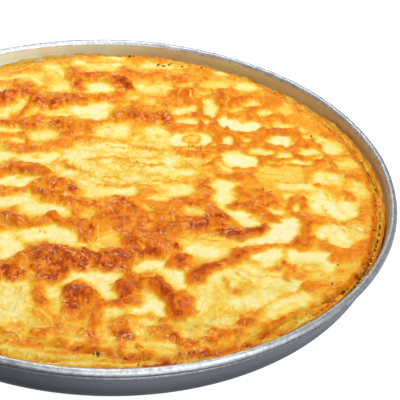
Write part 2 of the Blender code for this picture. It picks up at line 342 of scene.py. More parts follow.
def pan_profile():
    """The pan's section: along its floor, up the inside, over the roll, down the outside and back."""
    floor_bend = (wall_inside(CORNER_Z) - FLARE * (CORNER_Z - SHEET), SHEET)
    inner_top = (PAN_R - CURL_W, PAN_H - CURL_H / 2)
    centre = np.array((PAN_R - CURL_W / 2, PAN_H - CURL_H / 2))
    turn = np.radians(180 - 270 * np.arange(ROLL_STEPS + 1) / ROLL_STEPS)
    roll = centre + np.stack([CURL_W / 2 * np.cos(turn), CURL_H / 2 * np.sin(turn)], 1)
    hem_low = PAN_H - CURL_H - HEM_H
    hem_fold = (
        (centre[0], hem_low + 0.1), (centre[0] - 0.5, hem_low - 0.2), (WALL_TOP_R + 0.2, WALL_TOP_Z - 0.1),
    )
    parts = [
        line((HUB_R, SHEET), (FOOT_R - 0.6, SHEET), 6),
        bend((FOOT_R - 0.6, SHEET), floor_bend, (wall_inside(CORNER_Z), CORNER_Z), 8),
        line((wall_inside(CORNER_Z + 2), CORNER_Z + 2), (wall_inside(WALL_TOP_Z), WALL_TOP_Z), 5),
        line((wall_inside(WALL_TOP_Z), WALL_TOP_Z), inner_top, 4),
        roll,
        line((centre[0] + 0.1, PAN_H - CURL_H - 0.5), (centre[0] + 0.1, hem_low + 0.4), 4),
        hem_fold,
        line((WALL_TOP_R, WALL_TOP_Z - 0.6), (CORNER_R, CORNER_Z), 6),
        bend((CORNER_R, CORNER_Z), (CORNER_R - FLARE * CORNER_Z, 0.0), (FOOT_R, 0.0), 10),
        line((FOOT_R - 4, 0.0), (HUB_R, 0.0), 5),
    ]
    return np.concatenate([np.array(part, float) for part in parts])


pan_line = pan_profile()
pan_angle = 2 * math.pi * np.arange(PAN_STEPS) / PAN_STEPS
turned, length = np.meshgrid(pan_angle, np.arange(len(pan_line)), indexing="ij")
radius, level = pan_line[length, 0], pan_line[length, 1]
# Hammer marks on the roll, and a wall that is no longer quite round.
on_roll = np.clip((level - 33.5) / 2, 0, 1) * np.clip((radius - 213) / 1.5, 0, 1)
dent = ripple(turned * PAN_R, level * 2.0 + radius, 6.5, 3.0)
dent += 0.7 * ripple(turned * PAN_R, level + radius, 15.0, 4.0)
level = level + on_roll * np.minimum(0.16 * dent - 0.12, 0.0)
radius = radius + 0.12 * on_roll * dent + 0.25 * waver(turned, 9.0, 3.0) * np.clip((level - 12) / 20, 0, 1)
radius = np.minimum(radius, PAN_R)
pan_rings = turned_rings(turned, radius, level)

metal, wire, shader = new_finish("spun_aluminium")
place, around, outward, height = polar_place(wire)
ring_place = wire.node("ShaderNodeCombineXYZ", {}, {0: around * 0.02, 1: outward, 2: height})
spin_marks = wire.grain(ring_place, 900.0, 3.0, 0.7)
smudge = wire.grain(place, 28.0, 4.0, 0.6)
pits = wire.grain(place, 420.0, 3.0, 0.65)
# The middle of the sheet parts the greasy inside of the wall from its dull outside. Low down,
# where food hides the inside, all of the metal takes the finish of the outside.
mid_wall = height * FLARE + (WALL_TOP_R - SHEET_ACROSS / 2 - FLARE * WALL_TOP_Z) * MM
beyond_wall = outward - mid_wall + height.between(0.014, 0.008)
inside_wall = beyond_wall.between(0.0002, -0.0002) * height.between(0.0375, 0.036)
outer_wall = beyond_wall.between(-0.0002, 0.0002) * height.between(0.0298, 0.0292)
# Fat has stained the inside; its colour runs from pale on one side to brown on the +X side, partly stain and
# partly painted reflection of the pastry.
reflection_side = wire.maths("COSINE", around - 0.25)
stain_and_reflection = (reflection_side + (smudge - 0.5) * 0.7).between(-0.30, 0.55)
grease_and_reflection = stain_and_reflection.blend(rgba(240, 254, 232), rgba(208, 194, 128))
hammered = wire.grain(place, 150.0, 2.0, 0.6)
beaten = (hammered * 0.35 + pits * 0.65).between(0.34, 0.66)
bright = beaten.blend(rgba(180, 186, 191), rgba(228, 232, 234))
stained = (inside_wall * 0.92).blend(bright, grease_and_reflection)
# The outside of the wall is a darker blue-grey, partly its duller finish and partly painted shade.
worn_and_shaded = (outer_wall * (0.75 + 0.25 * smudge)).blend(stained, rgba(176, 180, 190))
# Painted shade: the groove under the roll is darkened, and the outer wall darkens towards its foot.
groove_shade = height.between(0.0364, 0.0346) * height.between(0.0326, 0.0336) * outward.between(0.2165, 0.2171)
painted_shade = 0.85 * groove_shade + 0.75 * outer_wall * height.between(0.028, 0.002)
feed(shader, "Base Color", painted_shade.blend(worn_and_shaded, rgba(62, 66, 72)))
feed(shader, "Metallic", 1 - 0.8 * inside_wall)
feed(shader, "Roughness", 0.30 + 0.14 * smudge + 0.08 * spin_marks + 0.14 * inside_wall)
worked = pits * 0.6 + spin_marks * 0.4 + hammered * 0.5 * height.between(0.030, 0.0335)
bump = wire.node("ShaderNodeBump", {}, {"Height": worked, "Strength": 0.3, "Distance": 0.0004})
feed(shader, "Normal", bump)

pan = lathe("spun_pan", pan_rings, metal)
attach(pan, "root")
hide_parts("pan")


# ---------------------------------------------------------------- the lower pastry
# The lower stack of boiled pastry sheets lines the pan. Its edge stands up along the wall as a
# few thin leaves, baked golden, with dark brown tips where it touches the metal.

GAP = 0.35
SKIN = 2.4
SKIN_TOP = 30.4
SKIN_WAVE = 1.5
LOWER_TOP = 12.0
BED_R = 196.0
FILLING_TOP = 18.0
CREVICE_Z = 27.2
LOWER_STEPS = 540
# Section over the tip of one leaf: share of its thickness, drop in mm, how much more it browned.
LEAF_TIP = ((0.0, 0.45, 0.05), (0.12, 0.1, 0.12), (0.34, 0.0, 0.1), (0.56, 0.15, 0.0), (0.72, 0.95, -0.05))


def smooth(low, high, value):
    """0 below low, 1 above high, and an S-curve between."""
    t = np.clip((value - low) / (high - low), 0.0, 1.0)
    return t * t * (3 - 2 * t)


def slack(angle):
    """How far the standing edge has come away from the wall, more on the +X side."""
    return 0.5 + 1.3 * np.maximum(np.cos(angle - 0.1), 0) + 0.3 * np.maximum(waver(angle, 3.7), 0)


def skin_outside(angle, z):
    """Radius of the standing pastry edge's outer face."""
    return wall_inside(z) - GAP - slack(angle) * smooth(CORNER_Z + 2, SKIN_TOP, z)


def skin_inside(angle, z):
    return skin_outside(angle, z) - SKIN


def back_dip(angle):
    """How far the pastry has sunk along the back of the wall, most at the left, where it is 1."""
    sunk = np.exp(-((np.degrees(np.arctan2(np.sin(angle - 2.2), np.cos(angle - 2.2))) / 16) ** 2))
    return np.maximum(sunk, 0.55 * smooth(0.62, 0.9, np.sin(angle)))


def skin_top(angle):
    wave = SKIN_WAVE * waver(angle, 6.4, 2.7) + 0.5 * waver(angle, 7.9, 9.0)
    return SKIN_TOP + wave - 4.5 * back_dip(angle)


BAKE = (
    (0.00, rgb(240, 231, 198)), (0.10, rgb(239, 226, 162)), (0.26, rgb(237, 211, 104)),
    (0.42, rgb(235, 185, 58)), (0.58, rgb(233, 155, 32)), (0.72, rgb(225, 128, 14)),
    (0.84, rgb(214, 107, 6)), (0.93, rgb(196, 86, 4)), (1.00, rgb(166, 64, 3)),
)
SOAK_TINT = (0.80, 0.72, 0.26, 1.0)  # what fat and egg do to the colour of a sheet
SHEEN_TINT = rgba(206, 142, 96)
GLINT_WHITE = rgba(253, 240, 205)
FACETS = 120.0  # facets of the crumpled film to the metre
CHIPS = 260.0  # and the smaller ones within them
FILM_SWAY = (0.009, 0.009, 0.009)


def keep_on(piece, name, values):
    """Keeps a value from 0 to 1 for each vertex on the mesh, for its material."""
    layer = piece.data.attributes.new(name, "FLOAT", "POINT")
    layer.data.foreach_set("value", np.clip(values, 0, 1).astype(np.float32).ravel())


def pastry_finish(name, gloss, wrinkle, painted_sheen_share):
    """Baked pastry: how far it browned through the colours of baking, oil gloss and fine wrinkles."""
    made, wire, shader = new_finish(name)
    place = wire.node("ShaderNodeTexCoord", {}, {}, "Object")
    brown, crumple, soaked = (
        wire.node("ShaderNodeAttribute", {"attribute_name": kept}, {}, "Fac")
        for kept in ("brown", "crumple", "soaked")
    )
    # The film is crumpled into small facets that took the heat differently, with thin creases between.
    sway = wire.grain(place, 90.0, 3.0).also("Color")
    sway = wire.shift("MULTIPLY", wire.shift("SUBTRACT", sway, (0.5, 0.5, 0.5)), FILM_SWAY)
    swayed = wire.shift("ADD", sway, place)

    def patches(scale, softness):
        """One value from 0 to 1 for each small facet of the film."""
        inputs = {"Vector": swayed, "Scale": scale, "Smoothness": softness}
        cells = wire.node("ShaderNodeTexVoronoi", {"feature": "SMOOTH_F1"}, inputs, "Color")
        return wire.node("ShaderNodeSeparateXYZ", {}, {0: cells})

    facet, chip = patches(FACETS, 0.35), patches(CHIPS, 0.3)
    edges = {"Vector": swayed, "Scale": FACETS}
    border = wire.node("ShaderNodeTexVoronoi", {"feature": "DISTANCE_TO_EDGE"}, edges)
    crest = border.between(0.16, 0.0)
    # Where the film is folded over itself, a raised lip lies beside a tuck; the lip is painted paler as
    # highlight and the tuck browner as shade.
    bent = wire.grain(swayed, 46.0, 1.0, 0.4)
    lip_highlight, tuck_shade = bent.close_to(0.505, 0.016, 0.0), bent.close_to(0.475, 0.024, 0.0)
    lapped = bent.between(0.475, 0.505)
    mottle = wire.grain(place, 300.0, 3.0, 0.6)
    speckle = wire.grain(place, 900.0, 2.0, 0.6)
    shifts = 0.10 + (facet - 0.5) * 0.22 + (chip - 0.5) * 0.16 + (mottle - 0.5) * 0.09 - crest * 0.04
    baked = brown + 0.03 * brown.between(0.15, 0.4) + crumple * shifts
    baked = baked + (mottle - 0.5) * 0.05 + (speckle - 0.5) * (0.04 + 0.06 * crumple)
    baked = baked + (0.10 * tuck_shade - 0.13 * lip_highlight) * (0.25 + 0.75 * crumple)
    # On pale sheets the crumples show as thin browned seams.
    arc = wire.grain(swayed, 95.0, 1.0, 0.4)
    seam = arc.close_to(0.53, 0.03, 0.004) + bent.close_to(0.54, 0.018, 0.003)
    baked = baked + crumple * brown.between(0.5, 0.2) * (crest * 0.14 + seam * 0.22)
    # Painted highlights: thin white glint lines, beads and flakes on the crumpled film.
    patchy = wire.grain(place, 210.0, 1.0, 0.5)
    glint_line = arc.close_to(0.5, 0.024, 0.006) * patchy.between(0.50, 0.62)
    glint_line = glint_line + bent.close_to(0.44, 0.013, 0.003) * patchy.between(0.48, 0.38)
    glint_dot = wire.grain(swayed, 430.0, 1.0, 0.5).between(0.655, 0.71)
    glint_dot = glint_dot * wire.grain(place, 130.0, 1.0, 0.5).between(0.46, 0.56)
    glint_flake = border.between(0.05, 0.01) * patchy.between(0.58, 0.68)
    painted_glints = (glint_flake * 0.5 + glint_line + glint_dot * 0.9) * crumple.between(0.15, 0.9) * painted_sheen_share
    # Painted sheen: a pinkish-grey tint over the darkest folds here and there.
    painted_sheen = wire.grain(swayed, 70.0).between(0.54, 0.66) * brown.between(0.68, 0.86) * 0.30 * painted_sheen_share
    colour = wire.node("ShaderNodeValToRGB", {"stops": BAKE}, {0: baked})
    colour = painted_glints.blend(painted_sheen.blend(colour, SHEEN_TINT), GLINT_WHITE)
    multiply = {"data_type": "RGBA", "blend_type": "MULTIPLY"}
    feed(shader, "Base Color", wire.node("ShaderNodeMix", multiply, {0: soaked, 6: colour, 7: SOAK_TINT}, 2))
    oily = wire.grain(place, 60.0, 3.0, 0.6)
    feed(shader, "Roughness", gloss - 0.03 * brown + (oily - 0.5) * 0.16)
    creased = {"Vector": swayed, "Scale": 200.0, "Detail": 1.5, "Roughness": 0.5, "Lacunarity": 2.1}
    folds = wire.node("ShaderNodeTexNoise", {"noise_type": "RIDGED_MULTIFRACTAL"}, creased) * 0.7
    folds = folds + wire.grain(place, 420.0, 1.0, 0.5) * 0.12 + crest * 0.25 + chip * 0.4 + facet * 0.5
    folds = folds * (0.10 + 0.9 * crumple) + (lapped * 0.7 + lip_highlight * 0.25 + glint_line * 0.4) * (0.25 + 0.5 * crumple)
    values = {"Height": folds, "Strength": wrinkle, "Distance": 0.0010}
    feed(shader, "Normal", wire.node("ShaderNodeBump", {}, values))
    shader.inputs["Subsurface Weight"].default_value = 0.08
    shader.inputs["Subsurface Radius"].default_value = (1.0, 0.45, 0.12)
    shader.inputs["Subsurface Scale"].default_value = 0.002
    shader.inputs["Specular IOR Level"].default_value = 0.11
    shader.inputs["Coat Weight"].default_value = 0.05
    shader.inputs["Coat Roughness"].default_value = 0.07
    return made


def lower_profile():
    """Fixed part of the lower stack's section: under its floor and round the pan's corner."""
    floor_bend = (wall_inside(CORNER_Z) - FLARE * (CORNER_Z - SHEET), SHEET)
    corner = bend((FOOT_R - 0.6, SHEET), floor_bend, (wall_inside(CORNER_Z), CORNER_Z), 6)
    return np.concatenate([line((HUB_R, SHEET + GAP), (FOOT_R - 2, SHEET + GAP), 5), corner + (-GAP, GAP)])


lower_angle = 2 * math.pi * np.arange(LOWER_STEPS) / LOWER_STEPS
under = lower_profile()
columns = [(np.full(LOWER_STEPS, r), np.full(LOWER_STEPS, z), np.zeros(LOWER_STEPS)) for r, z in under]
ragged = skin_top(lower_angle) + 0.8 * waver(lower_angle, 11.0, 26.0) + 0.6 * waver(lower_angle, 12.0, 60.0)
for share in (0.2, 0.45, 0.7, 0.86, 0.95):
    z = CORNER_Z + (ragged - CORNER_Z) * share
    out = skin_outside(lower_angle, z) - 0.25 * (1 + waver(lower_angle, 13.0 + share, 18.0)) * share
    columns.append((out, z, np.full(LOWER_STEPS, 0.3 + 0.5 * share)))
# Three leaves side by side make the lip, each with its own height and a groove before the next.
lip_outer = skin_outside(lower_angle, ragged)
for leaf in range(3):
    start = 0.25 + leaf * SKIN / 3
    tip = ragged - 0.55 * leaf + 0.7 * waver(lower_angle, 20.0 + leaf, 18.0 + 9 * leaf)
    toasted = 0.52 - 0.14 * np.sin(lower_angle) + 0.10 * np.cos(lower_angle) - 0.08 * leaf
    toasted += 0.22 * waver(lower_angle, 30.0 + leaf, 22.0)
    for offset, drop, extra in LEAF_TIP:
        columns.append((lip_outer - start - offset * SKIN / 3 / 0.8, tip - drop, toasted + extra))
for share in (0.0, 0.35, 0.7):
    z = ragged - 2.2 - share * (ragged - 2.2 - LOWER_TOP - 2.5)
    columns.append((skin_inside(lower_angle, z), z, np.full(LOWER_STEPS, 0.3 - 0.1 * share)))
lower_bed = ((BED_R, LOWER_TOP), (150.0, LOWER_TOP), (HUB_R, LOWER_TOP))
for r, z in ((skin_inside(lower_angle, LOWER_TOP + 2.5), LOWER_TOP + 2.5), *lower_bed):
    columns.append((np.broadcast_to(r, LOWER_STEPS), np.full(LOWER_STEPS, z), np.full(LOWER_STEPS, 0.1)))
radius, level, toast = (np.stack([column[k] for column in columns], 1) for k in range(3))
lower_rings = turned_rings(lower_angle, radius, level)
edge_pastry = pastry_finish("golden_edge_pastry", 0.5, 0.5, 0.2)
lower = lathe("lower_pastry", lower_rings, edge_pastry)
keep_on(lower, "brown", np.concatenate([toast.ravel(), [0.1, 0.1]]))
keep_on(lower, "crumple", np.full(len(lower.data.vertices), 0.5))
at_back = np.repeat(smooth(-0.2, 0.5, np.sin(lower_angle)), len(columns))
keep_on(lower, "soaked", np.concatenate([0.35 - 0.30 * at_back, [0.2, 0.2]]))
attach(lower, "root")
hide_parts("bottom_sheets")


# ---------------------------------------------------------------- the filling
# White cheese, egg and milk with chopped parsley, set by the oven into a lumpy layer between the
# stacks. It shows in the crevice at the wall, where it has wept and turned yellow.

FILLING_STEPS = 480

filling_angle = 2 * math.pi * np.arange(FILLING_STEPS) / FILLING_STEPS
foot = LOWER_TOP + 3.0
ones = np.ones(FILLING_STEPS)
crevice = CREVICE_Z + 0.6 * waver(filling_angle, 40.0, 20.0) + 0.4 * waver(filling_angle, 41.0, 60.0)
crevice = crevice - 2.0 * back_dip(filling_angle)
filling_columns = [(r * ones, (LOWER_TOP + GAP) * ones) for r in (HUB_R, BED_R - 0.4)]
filling_columns.append((skin_inside(filling_angle, foot) - 0.8, foot * ones))
for share in (0.3, 0.6, 0.85, 1.0):
    z = foot + (crevice - 0.5 - foot) * share
    filling_columns.append((skin_inside(filling_angle, z) - 0.8, z))
for inward, drop in ((1.6, 0.0), (2.6, 0.1), (3.8, 0.3), (5.2, 0.6)):
    lump = 0.35 * waver(filling_angle, 42.0 + inward, 70.0)
    filling_columns.append((skin_inside(filling_angle, crevice) - inward, crevice - drop + lump))
filling_columns += [(r * ones, FILLING_TOP * ones) for r in (BED_R, HUB_R)]
radius, level = (np.stack([column[k] for column in filling_columns], 1) for k in range(2))
filling_rings = turned_rings(filling_angle, radius, level)

curd, wire, shader = new_finish("cheese_custard")
place = wire.node("ShaderNodeTexCoord", {}, {}, "Object")
lumps = wire.grain(place, 240.0, 4.0, 0.6)
greens = wire.grain(place, 420.0, 2.0, 0.5)
custard = lumps.blend(rgba(196, 140, 40), rgba(246, 214, 118))
feed(shader, "Base Color", greens.between(0.60, 0.68).blend(custard, rgba(92, 98, 26)))
feed(shader, "Roughness", 0.35 + 0.3 * lumps)
bump = wire.node("ShaderNodeBump", {}, {"Height": lumps, "Strength": 0.6, "Distance": 0.001})
feed(shader, "Normal", bump)
shader.inputs["Subsurface Weight"].default_value = 0.15
shader.inputs["Subsurface Radius"].default_value = (1.0, 0.6, 0.2)
shader.inputs["Subsurface Scale"].default_value = 0.002
filling = lathe("cheese_filling", filling_rings, curd)
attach(filling, "root")
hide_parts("filling")


# ---------------------------------------------------------------- the top crust
# The upper stack of thin sheets. It was laid in looser than the pan is wide, so it stands in
# crumpled folds between flat plates. The folds browned first, and the plates stayed pale.

EDGE_R = 207.0
EDGE_WAVE = 1.8
PLATE_Z = 33.0
BROWN_RISE = 3.0
GROUND_Z, LIP_Z, SOAKED_Z, LEAF_Z = 34.5, 34.3, 34.0, 30.3  # height at which such strokes lie
RIDGED_MEAN = 0.67  # mean of the ridged noise
TOP_LIMIT = PAN_H - 0.4
GRID_ACROSS = 364
GRID_DEEP = 250

# How the top baked, as strokes laid one over the other. Their places were read on a plan
# drawn at PLAN_Z over the pan's foot: how far baked, how crumpled, softness, then x, y and radius
# of each point in mm. First come the broad tones.
PLAN_Z = 35.0
GROUND = (
    (0.62, 0.60, 16, -60, 20, 34, -30, 120, 34), (0.20, 0.60, 20, -25, 42, 24, 45, 55, 32),
    (0.20, 0.60, 14, 0, 15, 18, 30, 20, 16), (0.64, 0.55, 16, -5, -12, 18, 55, -10, 18),
    (0.72, 0.85, 14, -80, -90, 22, 20, -95, 22), (0.73, 0.70, 14, 20, -40, 22, 60, -45, 20),
    (0.58, 0.55, 16, 110, -60, 34, 150, -60, 34), (0.50, 0.22, 14, 120, 30, 26, 180, 20, 26),
    (0.54, 0.30, 14, 90, 130, 24, 150, 95, 22), (0.50, 0.45, 14, -80, 170, 22, 60, 175, 22),
    (0.44, 0.35, 12, 80, -128, 18, 110, -145, 16), (0.60, 0.60, 12, -20, -165, 14, 60, -172, 14),
    (0.50, 0.30, 12, -80, -150, 22, -60, -140, 16),
)
# Pale plates and browned folds.
BAKED = (
    # back left
    (0.58, 0.30, 2.5, -69, 172, 5), (0.10, 0.20, 2.5, -57, 178, 5, -51, 167, 5),
    (0.26, 0.25, 3, -57, 168, 4, -49, 154, 5), (0.12, 0.20, 2.2, -36, 187, 4, -16, 188, 4),
    (0.12, 0.20, 2.2, -26, 149, 6, -12, 151, 5), (0.15, 0.20, 2.2, -51, 149, 4, -43, 148, 4),
    (0.14, 0.20, 2, -22, 180, 3, -3, 181, 3), (0.10, 0.20, 2, -12, 196, 2.5, -2, 196, 2.5),
    (0.10, 0.20, 2, -71, 158, 4, -64, 151, 2), (0.82, 0.90, 3, -94, 130, 7, -78, 140, 7, -66, 129, 7),
    (0.75, 0.80, 2, -76, 154, 1.5, -76, 142, 5), (0.86, 0.90, 3, -93, 130, 4),
    (0.84, 0.80, 2, -68, 124, 3, -60, 125, 3), (0.80, 0.70, 2, -66, 121, 2, -40, 122, 2.5),
    (0.12, 0.15, 2.2, -92, 110, 3, -76, 121, 5), (0.84, 0.70, 1.2, -82, 100, 1, -70, 118, 1.2),
    (0.15, 0.20, 2, -74, 106, 3.5, -70, 106, 3), (0.12, 0.15, 2, -52, 108, 3.5, -41, 107, 2),
    (0.08, 0.12, 2.6, -27, 111, 8, -15, 111, 9), (0.74, 0.80, 2.5, -39, 166, 4, -12, 165, 4.5),
    (0.78, 0.80, 1.6, -35, 161, 3, -32, 149, 1), (0.58, 0.50, 2, -28, 190, 2, 0, 190, 2),
    (0.76, 0.85, 3, -58, 132, 5, -10, 131, 5), (0.90, 0.80, 2, -45, 98, 2.5, -41, 98, 2.5),
    (0.76, 0.80, 3, -92, 91, 6, -64, 92, 6),
    # back middle
    (0.78, 0.85, 2.5, -4, 158, 5, 11, 157, 5), (0.68, 0.55, 2.2, 6, 174, 3, 29, 174, 3.5),
    (0.40, 0.90, 1.8, 42, 175, 2.5, 47, 175, 2.5), (0.58, 0.50, 2, 52, 185, 2, 61, 185, 2.5),
    (0.12, 0.20, 2, 20, 187, 4, 40, 186, 3), (0.12, 0.20, 2, 80, 181, 3, 87, 181, 3),
    (0.20, 0.60, 2.4, 22, 152, 5, 36, 150, 6), (0.16, 0.30, 2, 12, 137, 3), (0.16, 0.30, 2, 25, 131, 3),
    (0.30, 0.15, 3, 64, 152, 5, 77, 150, 6), (0.10, 0.20, 2, 70, 160, 4, 78, 158, 3),
    (0.76, 0.60, 1.8, 53, 157, 1.2, 53, 142, 6), (0.74, 0.75, 3, 12, 112, 6, 44, 108, 7),
    (0.84, 0.80, 2, 14, 120, 1.5, 14, 112, 4), (0.10, 0.15, 1.8, 46, 115, 3.2, 57, 115, 3.5),
    (0.12, 0.15, 1.8, 52, 105, 2.4, 71, 105, 3), (0.14, 0.20, 1.8, 71, 120, 3, 76, 121, 2),
    (0.16, 0.20, 1.8, 80, 128, 2.5), (0.12, 0.15, 2, 62, 125, 4, 68, 125, 3),
    # back right
    (0.12, 0.20, 2, 101, 161, 2.5, 110, 158, 2.5), (0.16, 0.20, 1.8, 100, 153, 2.2),
    (0.60, 0.30, 2.5, 107, 147, 4, 127, 138, 5), (0.12, 0.20, 1.6, 110, 137, 2.2),
    (0.20, 0.20, 2.4, 133, 133, 4), (0.12, 0.20, 1.8, 117, 126, 3), (0.12, 0.20, 1.8, 100, 124, 2.6),
    (0.77, 0.90, 2.2, 88, 144, 2.5, 100, 144, 2.5), (0.72, 0.70, 2, 86, 142, 2.5, 90, 127, 2.5),
    (0.08, 0.12, 2.2, 86, 115, 5, 97, 114, 5.5), (0.52, 0.30, 1.8, 103, 112, 2),
    (0.08, 0.12, 2.2, 106, 98, 6, 109, 99, 6), (0.12, 0.15, 1.8, 120, 105, 3.2),
    (0.10, 0.15, 1.4, 128, 112, 2, 131, 104, 2), (0.10, 0.15, 1.6, 136, 108, 2, 141, 104, 3),
    (0.76, 0.60, 1, 133, 107, 0.8, 140, 97, 0.8), (0.74, 0.75, 1.8, 124, 95, 2.5, 139, 95, 2.5),
    (0.06, 0.10, 2.4, 129, 84, 7, 135, 83, 7), (0.14, 0.20, 1.8, 90, 82, 3.5),
    (0.14, 0.20, 1.8, 104, 80, 3), (0.14, 0.20, 1.6, 150, 98, 2.4),
    (0.16, 0.20, 1.6, 152, 91, 2.2, 160, 93, 2.4), (0.76, 0.70, 1.4, 60, 98, 1.6, 75, 92, 1.8),
    (0.72, 0.70, 2, 45, 100, 2, 60, 100, 2),
    # left middle
    (0.10, 0.15, 2.4, -62, 76, 3.6, -50, 76, 4), (0.12, 0.15, 1.8, -94, 80, 2.2, -78, 80, 2.2),
    (0.14, 0.20, 1.8, -77, 65, 2.4, -73, 65, 2.4), (0.08, 0.12, 2.4, -70, 45, 6, -54, 45, 8),
    (0.20, 0.20, 2, -92, 50, 3.5), (0.10, 0.15, 2.2, -30, 50, 5.5, -18, 50, 5),
    (0.15, 0.30, 2.2, -28, 61, 2.8, 19, 60, 3), (0.10, 0.15, 2, -82, 10, 3.5, -56, 12, 4.5),
    (0.08, 0.15, 2.6, -94, -14, 6, -56, -15, 5.5), (0.15, 0.20, 2, -47, 28, 3),
    (0.15, 0.20, 2, -35, 25, 3.2), (0.12, 0.20, 2, -20, 2, 3.4, -14, 2, 3),
    (0.79, 0.80, 2.6, -86, 27, 4, -52, 27, 4), (0.78, 0.70, 1.6, -80, 57, 1.5, -50, 57, 2),
    (0.66, 0.30, 3, -45, 64, 4, -37, 67, 5), (0.78, 0.80, 2.6, -46, 92, 4, -40, 90, 5),
    (0.80, 0.85, 3, -42, 2, 5, -32, 8, 7), (0.85, 0.90, 2.2, -57, 2, 3, -52, 1, 3),
    (0.86, 0.80, 1.6, -42, -12, 2), (0.80, 0.80, 1.6, -27, -17, 2), (0.56, 0.25, 2, -25, 9, 4),
    (0.82, 0.80, 1.8, -50, 10, 3), (0.80, 0.80, 2.4, -94, 0, 4, -78, 1, 3),
    # middle
    (0.15, 0.20, 2.2, -6, 90, 4.5, 6, 90, 4.5), (0.12, 0.20, 2.2, 32, 80, 4, 44, 79, 4.5),
    (0.08, 0.12, 2.4, 55, 84, 7, 73, 85, 7), (0.14, 0.20, 1.8, 88, 78, 2.6),
    (0.12, 0.20, 1.8, 17, 45, 2.6, 33, 44, 2.8), (0.16, 0.25, 1.8, 30, 35, 2.4, 37, 35, 2.2),
    (0.12, 0.20, 1.8, 54, 34, 3, 58, 33, 3), (0.16, 0.20, 1.6, 48, 30, 2.2),
    (0.16, 0.25, 1.8, 18, 25, 2.2, 26, 25, 2.4), (0.16, 0.25, 1.6, 9, 25, 2.4),
    (0.12, 0.20, 2, -4, 35, 3.2, 5, 35, 3.2), (0.16, 0.20, 1.6, 22, 18, 2.2),
    (0.08, 0.15, 2, 43, 10, 3.4, 57, 10, 3.6), (0.14, 0.20, 2, 5, 5, 3, 10, 5, 3),
    (0.16, 0.25, 1.6, 42, 2, 2.2), (0.72, 0.60, 1.4, 45, 80, 1.2, 50, 68, 1.4, 60, 62, 1.4, 76, 65, 1.4),
    (0.70, 0.60, 2, 42, 92, 2.6, 49, 91, 2.6), (0.68, 0.55, 1.8, 56, 58, 2, 74, 59, 2.4),
    (0.70, 0.50, 1.4, 71, 47, 1.2, 79, 47, 1.4), (0.68, 0.60, 2.4, 69, 23, 3.6, 79, 22, 3.6),
    (0.74, 0.70, 1.8, 75, 17, 2, 76, 2, 2.2), (0.72, 0.60, 2, 51, -4, 2.8, 60, -6, 3),
    (0.62, 0.30, 2.2, 22, 6, 3, 34, 6, 3.4), (0.77, 0.80, 2.2, 1, -14, 3, 18, -17, 3.4),
    (0.68, 0.50, 1, 48, 25, 0.8, 48, 18, 1), (0.60, 0.40, 1, 0, 46, 0.8, 14, 52, 0.9, 40, 52, 0.9),
    (0.64, 0.40, 1, 5, 72, 0.8, 22, 68, 0.9, 42, 70, 0.8), (0.60, 0.40, 1, 60, 46, 0.8, 66, 38, 0.8),
    (0.64, 0.40, 1, -6, 18, 0.8, 12, 14, 0.9, 34, 14, 0.8),
    # right
    (0.06, 0.08, 2.2, 96, 53, 6.5, 106, 54, 8), (0.10, 0.12, 1.6, 111, 68, 2.8, 122, 68, 1.6),
    (0.12, 0.15, 1.6, 134, 64, 2.6, 134, 58, 1.4), (0.10, 0.12, 1.8, 152, 68, 3.4, 155, 68, 3.2),
    (0.12, 0.15, 1.8, 171, 76, 3.2), (0.16, 0.20, 1.6, 103, 72, 2),
    (0.74, 0.70, 1.6, 145, 82, 1.8, 165, 76, 2), (0.72, 0.60, 1.6, 141, 80, 1.8, 141, 60, 2),
    (0.72, 0.60, 1.4, 128, 62, 1.4, 120, 71, 1.4), (0.71, 0.60, 1.4, 117, 94, 1.4, 117, 79, 1.6),
    (0.71, 0.60, 1.6, 95, 91, 1.8, 95, 80, 1.8), (0.34, 0.15, 2.6, 121, 46, 4, 143, 45, 4.5),
    (0.10, 0.15, 1.4, 126, 53, 1.8, 140, 56.5, 2.2, 154, 54, 1.8), (0.68, 0.60, 1.8, 120, 43, 2),
    (0.72, 0.60, 1.8, 142, 38, 2.2), (0.71, 0.80, 1.8, 95, 35, 2.2, 110, 36, 2.6),
    (0.28, 0.15, 2.4, 121, 32, 4.5, 134, 32, 4.5), (0.05, 0.10, 1.8, 136, 22, 2.8, 158, 21, 3),
    (0.10, 0.15, 1.8, 165, 35, 3.2, 171, 35, 3.2), (0.66, 0.30, 1.2, 159, 25, 3.4),
    (0.36, 0.15, 1.2, 159, 25, 1.4), (0.08, 0.12, 2.2, 88, 7, 5, 91, 15, 5),
    (0.62, 0.30, 1.8, 101, 20, 1.8, 112, 0, 2), (0.74, 0.85, 2.2, 112, 4, 4, 124, 4, 4.6),
    (0.10, 0.15, 1.6, 137, 6, 2.6), (0.10, 0.15, 1.8, 145, -1, 3.6),
    (0.74, 0.70, 1.2, 139, 1, 1.2, 144, 10, 1.4, 151, 4, 1.2), (0.08, 0.12, 2.8, 163, 8, 7, 163, -6, 8),
    (0.12, 0.15, 1.8, 186, 59, 3.2), (0.10, 0.15, 1.8, 190, 20, 3, 190, 28, 2.4),
    (0.08, 0.12, 2.2, 185, -10, 5, 184, 1, 5), (0.54, 0.30, 2.4, 190, 34, 3, 191, 44, 3),
    (0.62, 0.40, 1, 185, 26, 0.9, 186, 6, 0.9), (0.52, 0.30, 2.2, 195, -5, 3, 196, -15, 3),
    (0.66, 0.50, 1.6, 172, 62, 1, 170, 48, 1), (0.66, 0.50, 1.6, 177, 60, 1, 175, 48, 1),
    (0.62, 0.40, 1.2, 165, 15, 0.8, 172, 0, 0.9, 180, -16, 0.8), (0.70, 0.60, 2, 166, 66, 3, 160, 58, 2.6),
    # front-left upper
    (0.90, 0.95, 2.6, -96, -36, 4, -72, -36, 5, -62, -39, 4), (0.97, 0.95, 2.4, -74, -35, 3, -66, -37, 3),
    (0.76, 0.80, 2.2, -62, -42, 3, -50, -44, 3, -34, -45, 3), (0.12, 0.20, 2.4, -58, -30, 4, -47, -26, 4),
